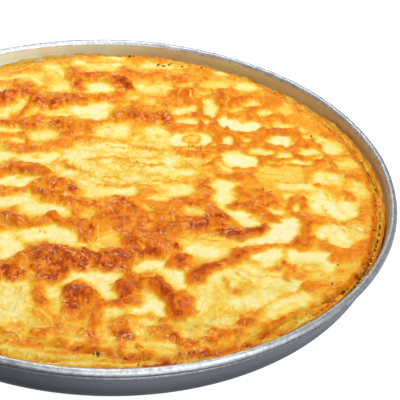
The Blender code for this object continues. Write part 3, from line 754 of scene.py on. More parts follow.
    (0.08, 0.15, 2, -46, -24, 3.6, -38, -22, 3, -30, -30, 2.6),
    (0.78, 0.45, 1.6, -41, -29, 1, -46, -40, 4, -36, -42, 5), (0.30, 0.50, 1.6, -78, -42, 1.8),
    (0.74, 0.70, 2.4, -95, -50, 4, -80, -50, 3),
    (0.20, 0.30, 2.4, -66, -59, 3, -50, -51, 4.5, -36, -52, 4.5),
    (0.09, 0.15, 2, -30, -52, 3, -22, -61, 3, -15, -68, 2.6), (0.16, 0.20, 2.2, -50, -58, 4, -32, -58, 4),
    (0.08, 0.12, 3, -90, -66, 8, -74, -68, 8, -62, -74, 3.4), (0.40, 0.30, 2.4, -57, -66, 2.6),
    # the great dark ridge
    (0.84, 0.90, 2.6, -62, -82, 2.4, -50, -79, 5, -38, -77, 7, -24, -80, 8, -10, -82, 9),
    (0.84, 0.90, 2.4, -8, -84, 9, 6, -80, 7, 16, -84, 8), (0.88, 0.80, 1.6, -13, -74, 4),
    (0.84, 0.60, 1.6, 2, -73, 3.6), (0.16, 0.15, 1, -5, -70, 2.2, -5, -76, 0.8),
    (0.97, 0.90, 2, -40, -82, 2.6, -30, -84, 2.6), (0.95, 0.90, 2, -47, -86, 2.6),
    (0.97, 0.90, 2.2, -32, -93, 3, -20, -88, 3, -12, -90, 3), (0.93, 0.95, 2.4, -22, -97, 4, -6, -97, 4),
    (0.90, 0.90, 2.4, 4, -93, 4, 14, -93, 5), (0.86, 0.90, 2, 18, -84, 3, 22, -94, 3),
    (0.52, 0.40, 1.8, -55, -92, 2, -38, -95, 2), (0.86, 0.90, 2.4, -40, -104, 3.4, -26, -105, 4),
    (0.93, 0.90, 1.8, -38, -110, 2.6, -32, -110, 2),
    (0.90, 0.90, 2.6, -96, -99, 5, -78, -99, 4, -62, -100, 4),
    (0.96, 0.95, 2.2, -68, -107, 3.4, -62, -106, 3), (0.80, 0.85, 2, -74, -110, 3, -60, -112, 3),
    (0.36, 0.30, 1.8, -55, -103, 2, -47, -105, 2), (0.60, 0.60, 1.8, -48, -114, 2.6, -40, -116, 2),
    (0.12, 0.25, 2.6, -80, -120, 4, -56, -118, 4), (0.10, 0.20, 1.8, -29, -114, 2.2, -25, -112, 2),
    (0.07, 0.12, 2.4, -18, -104, 3, 0, -105, 5, 14, -104, 3),
    (0.07, 0.12, 2.4, 0, -112, 5, 6, -122, 4.4, 10, -128, 3),
    # front middle
    (0.24, 0.30, 2, 28, -14, 2.4, 32, -19, 1.6), (0.20, 0.30, 2.4, 62, -18, 3, 76, -21, 3.4),
    (0.30, 0.30, 1.4, 51, -26, 1.4, 51, -34, 1.4), (0.26, 0.30, 2.2, 8, -54, 3.6, 7, -64, 3.6),
    (0.62, 0.40, 2, 22, -34, 4, 16, -44, 4), (0.89, 0.60, 2.2, 52, -33, 3, 64, -35, 4, 77, -37, 3.2),
    (0.95, 0.95, 1.6, 58, -33, 2, 66, -35, 2), (0.84, 0.60, 2, 78, -25, 3, 82, -32, 3.6, 88, -34, 3),
    (0.88, 0.95, 2.2, 86, -44, 3.6, 96, -41, 4), (0.66, 0.50, 2.2, 58, -48, 3, 84, -51, 3),
    (0.36, 0.20, 1.2, 85, -22, 0.9, 91, -26, 1),
    (0.93, 0.55, 2.2, 14, -53, 4.5, 22, -60, 5.5, 30, -69, 5, 44, -77, 3.4),
    (0.98, 0.90, 1.8, 25, -66, 2.2, 29, -75, 2.4), (0.88, 0.85, 1.8, 33, -64, 2.2, 44, -74, 2.4),
    (0.78, 0.80, 2, 40, -44, 3, 48, -42, 3), (0.76, 0.80, 2, 54, -56, 3, 48, -62, 2.4),
    (0.22, 0.30, 2.2, 66, -62, 3.6), (0.07, 0.15, 2.6, 72, -69, 3.4, 86, -68, 4.6),
    (0.26, 0.30, 2.4, 64, -78, 3, 82, -78, 2.6), (0.88, 0.45, 2.2, 59, -74, 5.4, 54, -80, 4.6),
    (0.86, 0.45, 2.2, 50, -86, 3.8, 59, -86, 4.2), (0.10, 0.15, 2.4, 28, -95, 3, 38, -88, 4.6, 46, -86, 3),
    (0.12, 0.15, 2.4, 44, -95, 3.6, 56, -98, 4.6), (0.10, 0.15, 2.4, 54, -106, 5.6, 60, -111, 4),
    (0.76, 0.50, 2.4, 20, -104, 4, 36, -107, 5), (0.50, 0.40, 2, 33, -102, 2, 37, -104, 2),
    (0.88, 0.40, 2.2, 70, -90, 3.6, 80, -88, 4.2, 88, -86, 3),
    (0.94, 0.80, 1.6, 76, -88, 1.8, 84, -89, 1.8), (0.85, 0.40, 2.4, 75, -97, 6, 72, -106, 5.6),
    (0.88, 0.85, 1.8, 72, -102, 2.6),
    # right front
    (0.18, 0.15, 2.2, 90, -3, 3), (0.75, 0.90, 2.2, 96, -5, 2.4, 108, -5, 3.6, 116, -6, 3.6),
    (0.78, 0.95, 1.6, 113, -6, 2.4, 128, 0, 1.6), (0.30, 0.20, 1.6, 131, -4, 1.8),
    (0.07, 0.12, 2, 128, -12, 3.4, 135, -13, 3.2),
    (0.05, 0.15, 2, 93, -13, 3, 102, -17, 4.4, 100, -24, 4, 108, -32, 3),
    (0.70, 0.60, 2, 110, -13, 2.2, 120, -12, 2), (0.86, 0.90, 1.6, 117, -17, 2, 132, -21.5, 2.2),
    (0.40, 0.15, 1.6, 109, -23, 1.6, 122, -25, 2), (0.84, 0.90, 2, 122, -29, 3, 118, -37, 4, 112, -42, 4),
    (0.94, 0.90, 1.6, 118, -36, 1.8), (0.90, 0.90, 1.8, 97, -38, 3, 102, -44, 3),
    (0.64, 0.50, 2, 100, -50, 2.4, 120, -46, 2.2),
    (0.06, 0.10, 2.6, 128, -46, 6.5, 141, -31, 9, 147, -22, 3),
    (0.06, 0.10, 2.4, 127, -38, 3.6, 136, -50, 5), (0.14, 0.12, 2, 88, -55, 3, 112, -55, 3, 124, -50, 3),
    (0.82, 0.80, 1.6, 141, -12, 1.6, 152, -16, 2), (0.86, 0.80, 2, 153, -18, 2.4, 158, -24, 3, 153, -32, 3),
    (0.76, 0.60, 2, 163, -25, 2.4), (0.80, 0.70, 2, 152, -36, 3, 150, -46, 3.4, 143, -55, 4),
    (0.90, 0.70, 1.8, 146, -51, 2.4), (0.44, 0.15, 1.4, 150, -34, 1.6),
    (0.06, 0.10, 2, 158, -37, 5, 164, -37, 5), (0.08, 0.12, 2, 176, -38, 3.6, 179, -48, 4.6),
    (0.70, 0.60, 2.4, 162, -52, 4, 168, -58, 4), (0.84, 0.70, 1.6, 166, -58, 2),
    (0.14, 0.15, 1.8, 155, -55, 2), (0.07, 0.15, 2.4, 147, -67, 4.4, 158, -69, 4.4),
    (0.10, 0.15, 2, 148, -76, 2.6, 144, -70, 2.4), (0.76, 0.60, 1.8, 124, -54, 1, 127, -59, 2, 136, -60, 3),
    (0.76, 0.60, 1.8, 134, -62, 4, 134, -70, 3, 134, -79, 0.8),
    (0.10, 0.12, 2, 123, -59, 1, 122, -68, 5, 121, -78, 5.6),
    (0.78, 0.65, 2.4, 117, -61, 2, 104, -66, 5, 98, -74, 4.6), (0.70, 0.60, 2, 90, -76, 2.4, 98, -79, 3),
    (0.16, 0.15, 2.2, 90, -63, 2.6), (0.16, 0.15, 2.4, 104, -86, 4, 112, -92, 5.6),
    (0.52, 0.30, 1.6, 122, -86, 1.6), (0.72, 0.60, 1.8, 143, -87, 2, 144, -96, 2.6),
    (0.28, 0.30, 2.4, 150, -84, 3, 162, -82, 3.6), (0.36, 0.35, 2, 155, -92, 3, 168, -88, 2.6),
    # far right front
    (0.16, 0.15, 2, 170, -12, 3), (0.60, 0.40, 2, 186, -20, 2, 190, -27, 2),
    (0.44, 0.25, 2.4, 195, -16, 3, 196, -26, 3), (0.64, 0.45, 3, 176, -62, 4, 192, -58, 4),
    (0.40, 0.30, 3, 176, -80, 4, 192, -80, 4), (0.74, 0.50, 2, 176, -68, 2),
    (0.62, 0.50, 2, 170, -93, 3, 182, -90, 2.6), (0.70, 0.60, 2, 164, -99, 2.4, 176, -98, 2.4),
    (0.68, 0.80, 2, 152, -104, 3.6, 154, -110, 2.6),
    # front left
    (0.13, 0.55, 3, -98, -130, 15, -66, -133, 14), (0.12, 0.60, 3, -98, -152, 14, -66, -150, 12),
    (0.30, 0.40, 2, -96, -129, 1.6, -70, -131, 2),
    (0.74, 0.60, 2, -47, -123, 3, -41, -132, 5, -36, -139, 2.4),
    (0.08, 0.12, 2, -32, -120, 2.6, -30, -134, 3),
    (0.22, 0.15, 1.8, -33, -143, 1.6, -26, -146, 1.6, -28, -154, 2),
    (0.87, 0.90, 2.4, -24, -122, 3, -12, -119, 5, -4, -124, 5),
    (0.95, 0.90, 2, -22, -127, 2.6, -4, -126, 3), (0.88, 0.85, 2.4, -22, -136, 4, -8, -134, 5, 0, -132, 4),
    (0.93, 0.85, 1.8, -20, -144, 3, -15, -141, 2.4),
    (0.60, 0.20, 3, -42, -152, 4, -30, -156, 4, -16, -156, 4), (0.50, 0.15, 3, -46, -152, 4),
    (0.78, 0.85, 1.6, -9, -148, 5.4), (0.50, 0.80, 1.2, -9, -148, 2.4),
    (0.30, 0.25, 2.4, -7, -161, 3, -4, -158, 2), (0.84, 0.70, 2, 2, -142, 2.6, 4, -156, 2.6, 2, -172, 2.4),
    (0.10, 0.20, 2.2, 12, -149, 3.6), (0.20, 0.40, 2.4, -43, -165, 3.6, -38, -172, 3.6),
    (0.70, 0.80, 2.4, -26, -171, 3, -18, -178, 3.4), (0.22, 0.30, 2, -10, -166, 2.4, -2, -166, 2),
    (0.55, 0.45, 2.4, -62, -168, 2.4, -46, -176, 2.4), (0.60, 0.70, 2, -60, -184, 2, -42, -188, 2),
    # front middle low
    (0.88, 0.45, 2.4, 19, -116, 6, 24, -117, 6), (0.96, 0.70, 1.6, 18, -125, 2.4, 28, -122, 2),
    (0.86, 0.80, 2, 12, -131, 3, 28, -131, 3.6),
    (0.85, 0.40, 2.6, 36, -108, 4, 44, -115, 5, 52, -126, 5.5, 58, -139, 6),
    (0.92, 0.40, 2.4, 46, -118, 3, 52, -127, 3), (0.76, 0.70, 2, 56, -144, 3, 64, -139, 3),
    (0.70, 0.60, 2.4, 62, -122, 3, 68, -132, 3), (0.07, 0.12, 2.6, 34, -128, 4.6, 38, -136, 6, 30, -142, 3),
    (0.26, 0.20, 2, 46, -145, 2.6), (0.50, 0.12, 5, 86, -124, 6, 92, -140, 7),
    (0.16, 0.20, 2, 74, -117, 3.6, 74, -128, 3), (0.36, 0.25, 2.4, 64, -152, 3, 80, -150, 3),
    (0.82, 0.60, 2, 22, -149, 2.4, 24, -160, 3, 26, -166, 3), (0.24, 0.30, 2.2, 20, -141, 2.6),
    (0.60, 0.70, 1.8, 32, -152, 2.4, 38, -154, 2), (0.20, 0.30, 2.2, 34, -164, 3.4, 36, -160, 3),
    (0.82, 0.70, 1.8, 43, -156, 1.8, 47, -162, 2.2, 48, -168, 2.4),
    (0.78, 0.90, 2, 54, -166, 3.4, 60, -172, 3.4), (0.97, 0.80, 1.6, 24, -172.5, 2.4),
    (0.95, 0.90, 1.8, 79, -169, 2.4, 84, -172, 2), (0.66, 0.90, 2, 66, -174, 3.4, 76, -174, 3),
    (0.10, 0.30, 2.4, 86, -160, 3.4, 98, -164, 3), (0.14, 0.25, 2, 30, -182, 2.2, 40, -181, 2.2),
    (0.14, 0.25, 2, 46, -181, 2.4, 57, -180, 2), (0.16, 0.30, 2.2, 46, -191, 2.6, 58, -192, 2.6),
    (0.74, 0.85, 2.4, 64, -186, 3, 90, -186, 3),
    # front right low
    (0.10, 0.35, 2.6, 86, -97, 4, 97, -96, 4.6, 96, -106, 4.6),
    (0.60, 0.30, 1.6, 91, -103, 1.2, 92, -112, 1.6), (0.12, 0.30, 2.4, 78, -104, 3, 88, -97, 4),
    (0.20, 0.35, 2.4, 73, -118, 4.5, 75, -128, 3.5),
    (0.26, 0.35, 2.4, 86, -110, 5, 90, -126, 5, 84, -138, 4),
    (0.12, 0.30, 2.4, 104, -97, 6, 126, -101, 9, 138, -106, 5.5),
    (0.10, 0.60, 2.2, 76, -151, 3, 90, -157, 4, 104, -160, 3),
    (0.32, 0.20, 2.4, 106, -112, 2.4, 118, -110, 1.6), (0.78, 0.40, 2.6, 101, -114, 3.6),
    (0.60, 0.50, 1.8, 96, -123, 2.2), (0.09, 0.40, 2.4, 98, -128, 6, 112, -123, 8.4, 126, -115, 7),
    (0.10, 0.30, 2, 97, -134, 2.8),
    (0.74, 0.50, 1.8, 108, -137, 2, 124, -137, 2.2, 131, -125, 2, 140, -112, 2),
    (0.12, 0.15, 2.6, 132, -132, 6, 142, -124, 5.6), (0.16, 0.15, 2.2, 124, -143, 2.6, 138, -140, 2.6),
    (0.82, 0.95, 2.2, 104, -145, 3.4, 108, -153, 3.6), (0.64, 0.40, 2.4, 94, -144, 3, 98, -152, 3),
    (0.74, 0.60, 2, 146, -112, 3, 150, -116, 2), (0.62, 0.50, 2, 150, -127, 2, 156, -124, 2.4),
    (0.22, 0.30, 2.4, 98, -160, 3, 112, -158, 3), (0.66, 0.60, 2.2, 110, -166, 3, 130, -156, 3),
)
# Finer ones were read on enlarged parts of the picture. Each part has its left and top edge, its
# enlargement and its strokes, with x and y in the part's own pixels and radii in mm.
BAKED_CLOSE = (
    # back left
    (0, 30, 5, (
        (0.16, 0.15, 2, 20, 232, 3, 120, 228, 3.5, 190, 235, 3), (0.12, 0.30, 2.2, 40, 400, 5, 110, 372, 5),
        (0.12, 0.30, 2, 0, 430, 4, 20, 420, 4), (0.18, 0.25, 2, 115, 412, 3, 175, 400, 3.5),
        (0.18, 0.25, 1.8, 245, 412, 2.5, 320, 400, 2.5), (0.14, 0.35, 2.2, 290, 290, 6, 335, 285, 6),
        (0.08, 0.15, 2.2, 450, 295, 6, 530, 290, 7),
        (0.06, 0.20, 2.2, 395, 405, 6.5, 460, 400, 8, 520, 385, 5),
        (0.18, 0.20, 2, 450, 190, 3.5, 590, 180, 3.5),
        (0.74, 0.55, 2.2, 362, 188, 3.5, 420, 222, 4.5, 500, 212, 4, 555, 222, 4),
        (0.76, 0.60, 2, 385, 262, 4.5, 405, 285, 3.5),
        (0.80, 0.70, 2.2, 575, 245, 5, 620, 262, 6, 650, 285, 4),
        (0.74, 0.50, 1.8, 620, 185, 2.5, 655, 205, 4, 720, 232, 3),
        (0.84, 0.40, 1.4, 600, 235, 2, 640, 215, 1.6),
        (0.74, 0.70, 2.2, 600, 430, 4.5, 660, 395, 4.5, 740, 425, 5, 840, 412, 5),
        (0.84, 0.70, 1.6, 655, 400, 2.5, 665, 385, 2), (0.66, 0.70, 2.2, 830, 235, 4, 905, 245, 4.5),
        (0.74, 0.45, 2.2, 885, 310, 6, 925, 330, 7, 950, 300, 5),
        (0.72, 0.70, 2, 75, 278, 4, 140, 272, 4, 170, 275, 3), (0.80, 0.80, 2.2, 20, 340, 6, 60, 345, 4),
        (0.80, 0.75, 2.2, 190, 350, 5, 260, 365, 5, 340, 350, 4),
        (0.84, 0.40, 1.2, 150, 362, 1.4, 95, 432, 1.4),
        (0.14, 0.40, 2.2, 700, 290, 5, 760, 300, 6, 820, 285, 4), (0.12, 0.20, 2, 890, 410, 4, 960, 400, 4),
    )),
    # back right
    (200, 60, 5, (
        (0.26, 0.25, 2.2, 50, 125, 5, 140, 125, 5), (0.12, 0.15, 2, 208, 135, 5, 245, 140, 5),
        (0.12, 0.25, 2, 45, 215, 4, 55, 258, 6), (0.22, 0.25, 1.8, 140, 258, 3, 210, 240, 3),
        (0.14, 0.20, 1.8, 240, 220, 3.5, 280, 222, 3), (0.16, 0.25, 1.8, 310, 268, 4, 345, 264, 3),
        (0.28, 0.15, 2.2, 402, 245, 4, 448, 272, 4), (0.16, 0.20, 1.6, 335, 335, 3.2),
        (0.18, 0.20, 1.6, 385, 325, 3, 430, 330, 2.5), (0.16, 0.20, 1.6, 520, 355, 3),
        (0.05, 0.10, 2, 130, 308, 6.5, 200, 338, 6.5, 260, 335, 6.5), (0.44, 0.20, 1.6, 215, 308, 2.6),
        (0.05, 0.10, 1.8, 375, 408, 7, 435, 405, 8), (0.06, 0.10, 2, -5, 405, 8, 58, 402, 8),
        (0.10, 0.10, 1.6, 132, 408, 4.4), (0.16, 0.15, 1.6, 210, 406, 3, 262, 400, 3),
        (0.08, 0.10, 1.8, 300, 462, 5, 335, 456, 5), (0.06, 0.10, 1.8, 150, 478, 5, 225, 480, 5),
        (0.10, 0.10, 1.6, 392, 480, 5, 438, 470, 4), (0.12, 0.10, 2, 530, 455, 6, 572, 480, 5),
        (0.14, 0.10, 3, 612, 402, 5, 660, 442, 8),
        (0.76, 0.50, 1.6, 68, 170, 2.6, 120, 165, 3.6, 102, 200, 4.4),
        (0.78, 0.40, 1.4, 125, 165, 2, 152, 222, 3), (0.84, 0.50, 1.6, 168, 200, 3, 208, 195, 3.2),
        (0.64, 0.30, 2.6, 310, 200, 6, 368, 215, 6.5), (0.80, 0.40, 1.6, 362, 346, 3, 430, 350, 3.2),
        (0.74, 0.40, 1.4, 290, 385, 2.2, 328, 420, 2.4, 366, 462, 2.4),
        (0.74, 0.40, 1.4, 330, 382, 2.4, 352, 350, 2.4),
        (0.72, 0.40, 1.4, 476, 380, 2.4, 486, 420, 2.2, 448, 452, 2.2),
        (0.72, 0.40, 1.4, 240, 376, 2, 290, 385, 2.2),
        (0.77, 0.40, 1.4, 180, 370, 1.8, 190, 405, 2.2, 172, 440, 2),
        (0.70, 0.35, 1.4, 96, 400, 2.2, 96, 362, 2.2, 60, 345, 2.2),
        (0.70, 0.35, 1.4, 96, 442, 2, 178, 442, 2), (0.70, 0.35, 1.4, 230, 442, 2, 280, 402, 2),
        (0.78, 0.45, 1.8, 540, 415, 2.8, 602, 436, 3.6), (0.70, 0.30, 1.6, 485, 392, 2.4, 515, 408, 2.4),
        (0.68, 0.30, 2, 622, 370, 2.4, 655, 378, 2.4), (0.66, 0.30, 1.6, 0, 300, 3, 30, 325, 2, 75, 330, 2),
        (0.72, 0.30, 1.2, 90, 262, 1.4, 125, 250, 1.8, 160, 275, 1.4, 215, 275, 1.4),
        (0.54, 0.20, 3, 480, 290, 6, 560, 340, 6),
    )),
    # left
    (0, 120, 5, (
        (0.12, 0.30, 2.2, 190, 80, 6, 242, 75, 5), (0.10, 0.30, 2.2, 5, 182, 7),
        (0.08, 0.20, 2.2, 128, 195, 5.5, 195, 188, 8, 250, 180, 6.5), (0.24, 0.20, 2, 178, 188, 2.6),
        (0.09, 0.20, 2.2, 5, 300, 6, 100, 308, 7, 165, 300, 4), (0.30, 0.20, 1.8, 96, 293, 2),
        (0.10, 0.30, 2.4, 5, 412, 7, 120, 400, 6, 200, 440, 7, 300, 470, 5),
        (0.08, 0.40, 2.6, 375, 185, 8, 440, 170, 6), (0.08, 0.40, 2.4, 500, 140, 5, 605, 135, 6),
        (0.10, 0.40, 2.2, 345, 270, 6, 392, 256, 4), (0.12, 0.40, 2.2, 422, 330, 8, 470, 365, 6),
        (0.10, 0.30, 2.2, 500, 365, 5, 560, 352, 5, 645, 355, 5), (0.10, 0.40, 2.2, 520, 65, 6, 590, 60, 8),
        (0.14, 0.30, 2.2, 780, 60, 8, 820, 112, 7), (0.34, 0.20, 2, 792, 85, 2.6),
        (0.06, 0.12, 2, 898, 100, 8, 1000, 100, 8), (0.26, 0.20, 2, 960, 100, 2.6),
        (0.16, 0.40, 2, 645, 165, 3, 760, 172, 3), (0.10, 0.30, 2, 750, 250, 4, 818, 250, 4),
        (0.08, 0.20, 1.8, 905, 262, 3, 952, 262, 3), (0.14, 0.20, 2.4, 868, 355, 7, 932, 345, 6),
        (0.16, 0.30, 2, 765, 388, 3, 815, 395, 3), (0.12, 0.40, 2.2, 640, 300, 4, 700, 295, 4),
        (0.12, 0.50, 2.2, 540, 215, 5, 580, 240, 5),
        (0.80, 0.70, 2, 95, 240, 4, 160, 246, 4.4, 225, 256, 3.6), (0.76, 0.70, 2, 8, 262, 3, 80, 245, 4),
        (0.74, 0.60, 1.8, 95, 148, 2.4, 160, 138, 2.4, 230, 140, 3),
        (0.74, 0.75, 2.4, 190, 310, 5, 260, 300, 6, 330, 330, 7.5, 380, 352, 4.5),
        (0.74, 0.75, 2.4, 240, 380, 6.5, 330, 410, 6.5), (0.86, 0.80, 1.8, 235, 298, 2.8, 262, 304, 2.4),
        (0.88, 0.80, 1.6, 180, 350, 2.4, 212, 352, 2.4), (0.86, 0.80, 1.8, 375, 405, 3),
        (0.62, 0.40, 2.2, 250, 120, 5, 330, 110, 6), (0.74, 0.50, 1.6, 20, 360, 2.4, 90, 345, 2.4),
        (0.76, 0.80, 2.2, 560, 425, 5, 640, 410, 5, 682, 435, 4),
        (0.90, 0.80, 1.4, 575, 470, 2, 598, 466, 2), (0.64, 0.50, 2.2, 742, 402, 4, 810, 432, 5),
        (0.68, 0.50, 2.4, 830, 418, 3, 990, 415, 4), (0.72, 0.40, 1.6, 860, 36, 2.4, 1000, 28, 2.4),
        (0.72, 0.40, 1.6, 900, 155, 2.4, 1000, 168, 2.6), (0.92, 0.80, 1.8, 45, 478, 3.4, 80, 485, 3),
        (0.58, 0.30, 1, 440, 196, 0.9, 560, 182, 1.1, 640, 190, 0.9),
        (0.60, 0.30, 1, 480, 322, 0.9, 600, 328, 1.1, 705, 312, 0.9),
        (0.56, 0.30, 1, 600, 95, 1, 700, 135, 1.2, 860, 150, 1),
        (0.60, 0.30, 1, 640, 200, 0.9, 740, 225, 1, 820, 215, 0.9),
        (0.62, 0.30, 1.2, 320, 200, 1.4, 350, 235, 1.6, 430, 250, 1.2),
        (0.56, 0.30, 1, 520, 280, 1, 600, 290, 1.2),
    )),
    # right
    (190, 150, 5, (
        (0.30, 0.15, 3, 380, 110, 6, 520, 130, 7), (0.16, 0.15, 1.8, 160, 75, 3.4, 190, 100, 3),
        (0.05, 0.10, 2, 215, 50, 8, 285, 60, 8), (0.10, 0.15, 2.6, 165, 185, 9, 170, 240, 7, 190, 290, 4),
        (0.06, 0.20, 2, 230, 320, 6, 300, 355, 7), (0.36, 0.20, 1.2, 310, 334, 1.2, 372, 348, 1.2),
        (0.14, 0.10, 2, 460, 180, 3, 540, 185, 4, 612, 195, 3),
        (0.12, 0.15, 2.4, 150, 470, 3, 300, 465, 3.5, 380, 440, 3),
        (0.05, 0.10, 2.2, 370, 450, 7, 430, 402, 8.5, 530, 365, 8, 490, 430, 8.5),
        (0.07, 0.10, 1.8, 430, 300, 4.5, 490, 300, 4), (0.07, 0.10, 1.8, 525, 285, 5, 555, 265, 4),
        (0.08, 0.10, 2.4, 630, 270, 9, 690, 280, 8, 742, 322, 6.5),
        (0.07, 0.10, 2, 630, 410, 7.5, 672, 410, 6.5), (0.09, 0.12, 2.2, 755, 400, 7.5, 770, 450, 7.5),
        (0.15, 0.12, 2.4, 780, 270, 7.5, 800, 310, 6.5), (0.13, 0.12, 2.4, 660, 140, 7.5, 718, 150, 6.5),
        (0.26, 0.15, 2.2, 762, 80, 5.5, 812, 70, 5.5), (0.12, 0.12, 1.8, 575, 15, 4, 610, 10, 4),
        (0.12, 0.12, 1.8, 440, 32, 3, 485, 28, 3), (0.14, 0.15, 1.8, 320, 12, 2.6, 395, 18, 2.6),
        (0.72, 0.40, 2, 245, 190, 4, 275, 230, 4),
        (0.76, 0.55, 2, 212, 275, 3, 300, 265, 5, 340, 290, 5, 380, 320, 3.4, 430, 345, 2.6),
        (0.74, 0.45, 2, 340, 200, 4, 410, 240, 3.6, 440, 272, 3.4),
        (0.78, 0.40, 1.4, 490, 290, 2, 520, 245, 2.4, 570, 240, 2.4, 576, 275, 2.2),
        (0.80, 0.45, 1.6, 515, 310, 2.2, 560, 325, 2.4, 600, 360, 3.4),
        (0.72, 0.40, 2, 600, 360, 4, 590, 420, 5.6, 560, 460, 5.6),
        (0.86, 0.40, 1.4, 590, 372, 2.2, 612, 356, 1.8), (0.82, 0.40, 1.6, 642, 365, 2.6),
        (0.84, 0.85, 2.2, 20, 360, 5.6, 100, 345, 5.6, 170, 340, 4.6),
        (0.84, 0.80, 2, 200, 400, 4.6, 250, 420, 5.4, 330, 405, 4.6, 370, 375, 3.4),
        (0.72, 0.50, 2, 60, 170, 4, 95, 195, 4.4), (0.70, 0.50, 2, 110, 290, 4.4, 140, 310, 4.4),
        (0.62, 0.40, 2.4, 400, 480, 4, 530, 480, 4), (0.68, 0.25, 1.6, 638, 172, 2.8),
        (0.66, 0.60, 1.8, 705, 75, 3.4, 735, 95, 3.4), (0.64, 0.30, 2.2, 800, 238, 4.4, 830, 200, 4.4),
        (0.62, 0.30, 2.4, 830, 342, 5.4, 880, 300, 4.6), (0.70, 0.40, 1.8, 150, 128, 2.6, 280, 130, 3.4),
    )),
    # front left
    (0, 205, 5, (
        (0.10, 0.25, 2.4, 15, 165, 7, 60, 215, 8, 15, 250, 6),
        (0.10, 0.20, 2.4, 150, 150, 7, 230, 122, 7, 300, 150, 8, 370, 182, 5),
        (0.10, 0.25, 2.2, 160, 20, 7, 240, 15, 6, 310, 35, 4), (0.26, 0.30, 2.2, 430, 50, 3),
        (0.28, 0.30, 3, 540, 170, 6, 590, 182, 5), (0.20, 0.20, 2, 490, 200, 3.6),
        (0.10, 0.15, 2.2, 690, 310, 5, 760, 292, 6, 840, 292, 5),
        (0.08, 0.15, 2.2, 860, 340, 7, 902, 372, 6), (0.10, 0.20, 2.2, 965, 225, 8),
        (0.08, 0.15, 2.2, 300, 382, 3, 390, 362, 4, 480, 366, 5, 560, 372, 5),
        (0.10, 0.15, 2.2, 520, 400, 5, 540, 442, 5), (0.10, 0.20, 2.2, 275, 440, 4.5, 285, 480, 4.5),
        (0.10, 0.35, 2.6, 5, 440, 10, 90, 440, 9), (0.10, 0.15, 2.2, 750, 482, 7),
        (0.82, 0.90, 2.2, 10, 52, 5, 60, 55, 5, 100, 82, 4), (0.93, 0.90, 1.6, 48, 56, 2.6, 82, 68, 2.6),
        (0.74, 0.70, 1.8, 110, 90, 3.2, 200, 90, 2.4),
        (0.70, 0.60, 2.2, 230, 75, 4, 262, 60, 5, 330, 80, 5),
        (0.73, 0.60, 2.4, 370, 80, 7, 430, 112, 8, 420, 158, 5), (0.70, 0.90, 2.4, 520, 60, 7, 620, 80, 6),
        (0.80, 0.80, 2.2, 112, 245, 4, 180, 216, 5, 260, 212, 5, 300, 232, 6),
        (0.91, 0.90, 2, 190, 262, 4.4, 235, 272, 4),
        (0.91, 0.90, 2.4, 350, 252, 7, 432, 245, 7, 400, 298, 6),
        (0.85, 0.80, 2.4, 510, 242, 5, 580, 242, 7, 630, 270, 7, 540, 300, 5),
        (0.88, 0.90, 2, 200, 355, 4, 260, 362, 5, 310, 332, 4), (0.84, 0.80, 2.2, 15, 335, 6, 62, 340, 6),
        (0.93, 0.90, 1.6, 48, 352, 2.8, 74, 350, 2.4), (0.62, 0.50, 2.2, 112, 300, 5),
        (0.90, 0.50, 2, 640, 165, 4.2, 690, 205, 5.6, 760, 235, 4.8, 802, 246, 2.8),
        (0.95, 0.50, 1.6, 665, 205, 3, 690, 225, 2.6),
        (0.86, 0.45, 2.2, 860, 285, 4.8, 900, 262, 5.6, 915, 290, 4.8),
        (0.86, 0.60, 1.8, 890, 80, 3.6, 950, 90, 4, 1000, 86, 3.6),
        (0.74, 0.70, 2.4, 740, 160, 5, 820, 182, 6, 880, 200, 5),
        (0.90, 0.80, 2.4, 340, 440, 7, 400, 430, 8, 440, 470, 7),
        (0.74, 0.60, 2, 190, 430, 4.4, 220, 470, 5),
        (0.89, 0.40, 2.2, 610, 400, 6, 660, 405, 6, 640, 430, 5),
        (0.84, 0.40, 2, 700, 385, 4, 780, 370, 5, 840, 420, 5, 880, 470, 5), (0.80, 0.45, 2.2, 985, 360, 7),
        (0.74, 0.45, 1.8, 560, 490, 3, 620, 480, 4, 690, 460, 4),
    )),
    # front left, near the wall
    (0, 280, 5, (
        (0.13, 0.60, 2.8, 15, 60, 12, 80, 110, 11, 15, 180, 9, 105, 180, 6),
        (0.12, 0.20, 1.8, 275, 80, 3.6), (0.20, 0.40, 2.2, 190, 240, 4.6, 240, 245, 4),
        (0.12, 0.25, 2, 550, 150, 4, 590, 160, 4), (0.26, 0.30, 2.2, 500, 228, 5),
        (0.08, 0.15, 2.2, 700, 140, 6, 770, 120, 7, 802, 160, 5), (0.18, 0.70, 2, 700, 232, 5, 750, 226, 4),
        (0.20, 0.40, 2, 680, 320, 3.6, 740, 310, 3.6), (0.14, 0.30, 1.8, 800, 326, 2.8, 862, 330, 2.8),
        (0.22, 0.30, 2.4, 880, 200, 5, 960, 222, 7), (0.20, 0.80, 2, 910, 270, 4.5, 980, 262, 4),
        (0.62, 0.35, 1.8, 415, 165, 4), (0.76, 0.40, 1.2, 412, 162, 1.8),
        (0.75, 0.50, 2, 490, 112, 4.6, 480, 180, 4.2, 470, 250, 4),
        (0.54, 0.20, 2.2, 210, 162, 5, 262, 202, 5.6), (0.62, 0.40, 2, 330, 190, 4, 350, 240, 4),
        (0.50, 0.15, 2, 410, 212, 4.6), (0.80, 0.45, 1.8, 540, 105, 2.6, 600, 100, 3.6, 680, 95, 4.6),
        (0.87, 0.40, 2.2, 800, 30, 5, 850, 80, 6, 880, 130, 7, 890, 168, 5),
        (0.76, 0.55, 2, 630, 180, 2.6, 640, 240, 5.6, 600, 262, 4.8),
        (0.95, 0.60, 1.4, 628, 278, 2.2, 652, 276, 2.2), (0.70, 0.80, 2, 560, 248, 4.4),
        (0.74, 0.85, 2.2, 750, 260, 4.6, 830, 250, 5.4, 870, 280, 5), (0.70, 0.60, 1.8, 820, 190, 4),
        (0.66, 0.90, 2, 290, 280, 4, 370, 270, 3), (0.58, 0.80, 2, 170, 280, 3.6, 250, 285, 3.6),
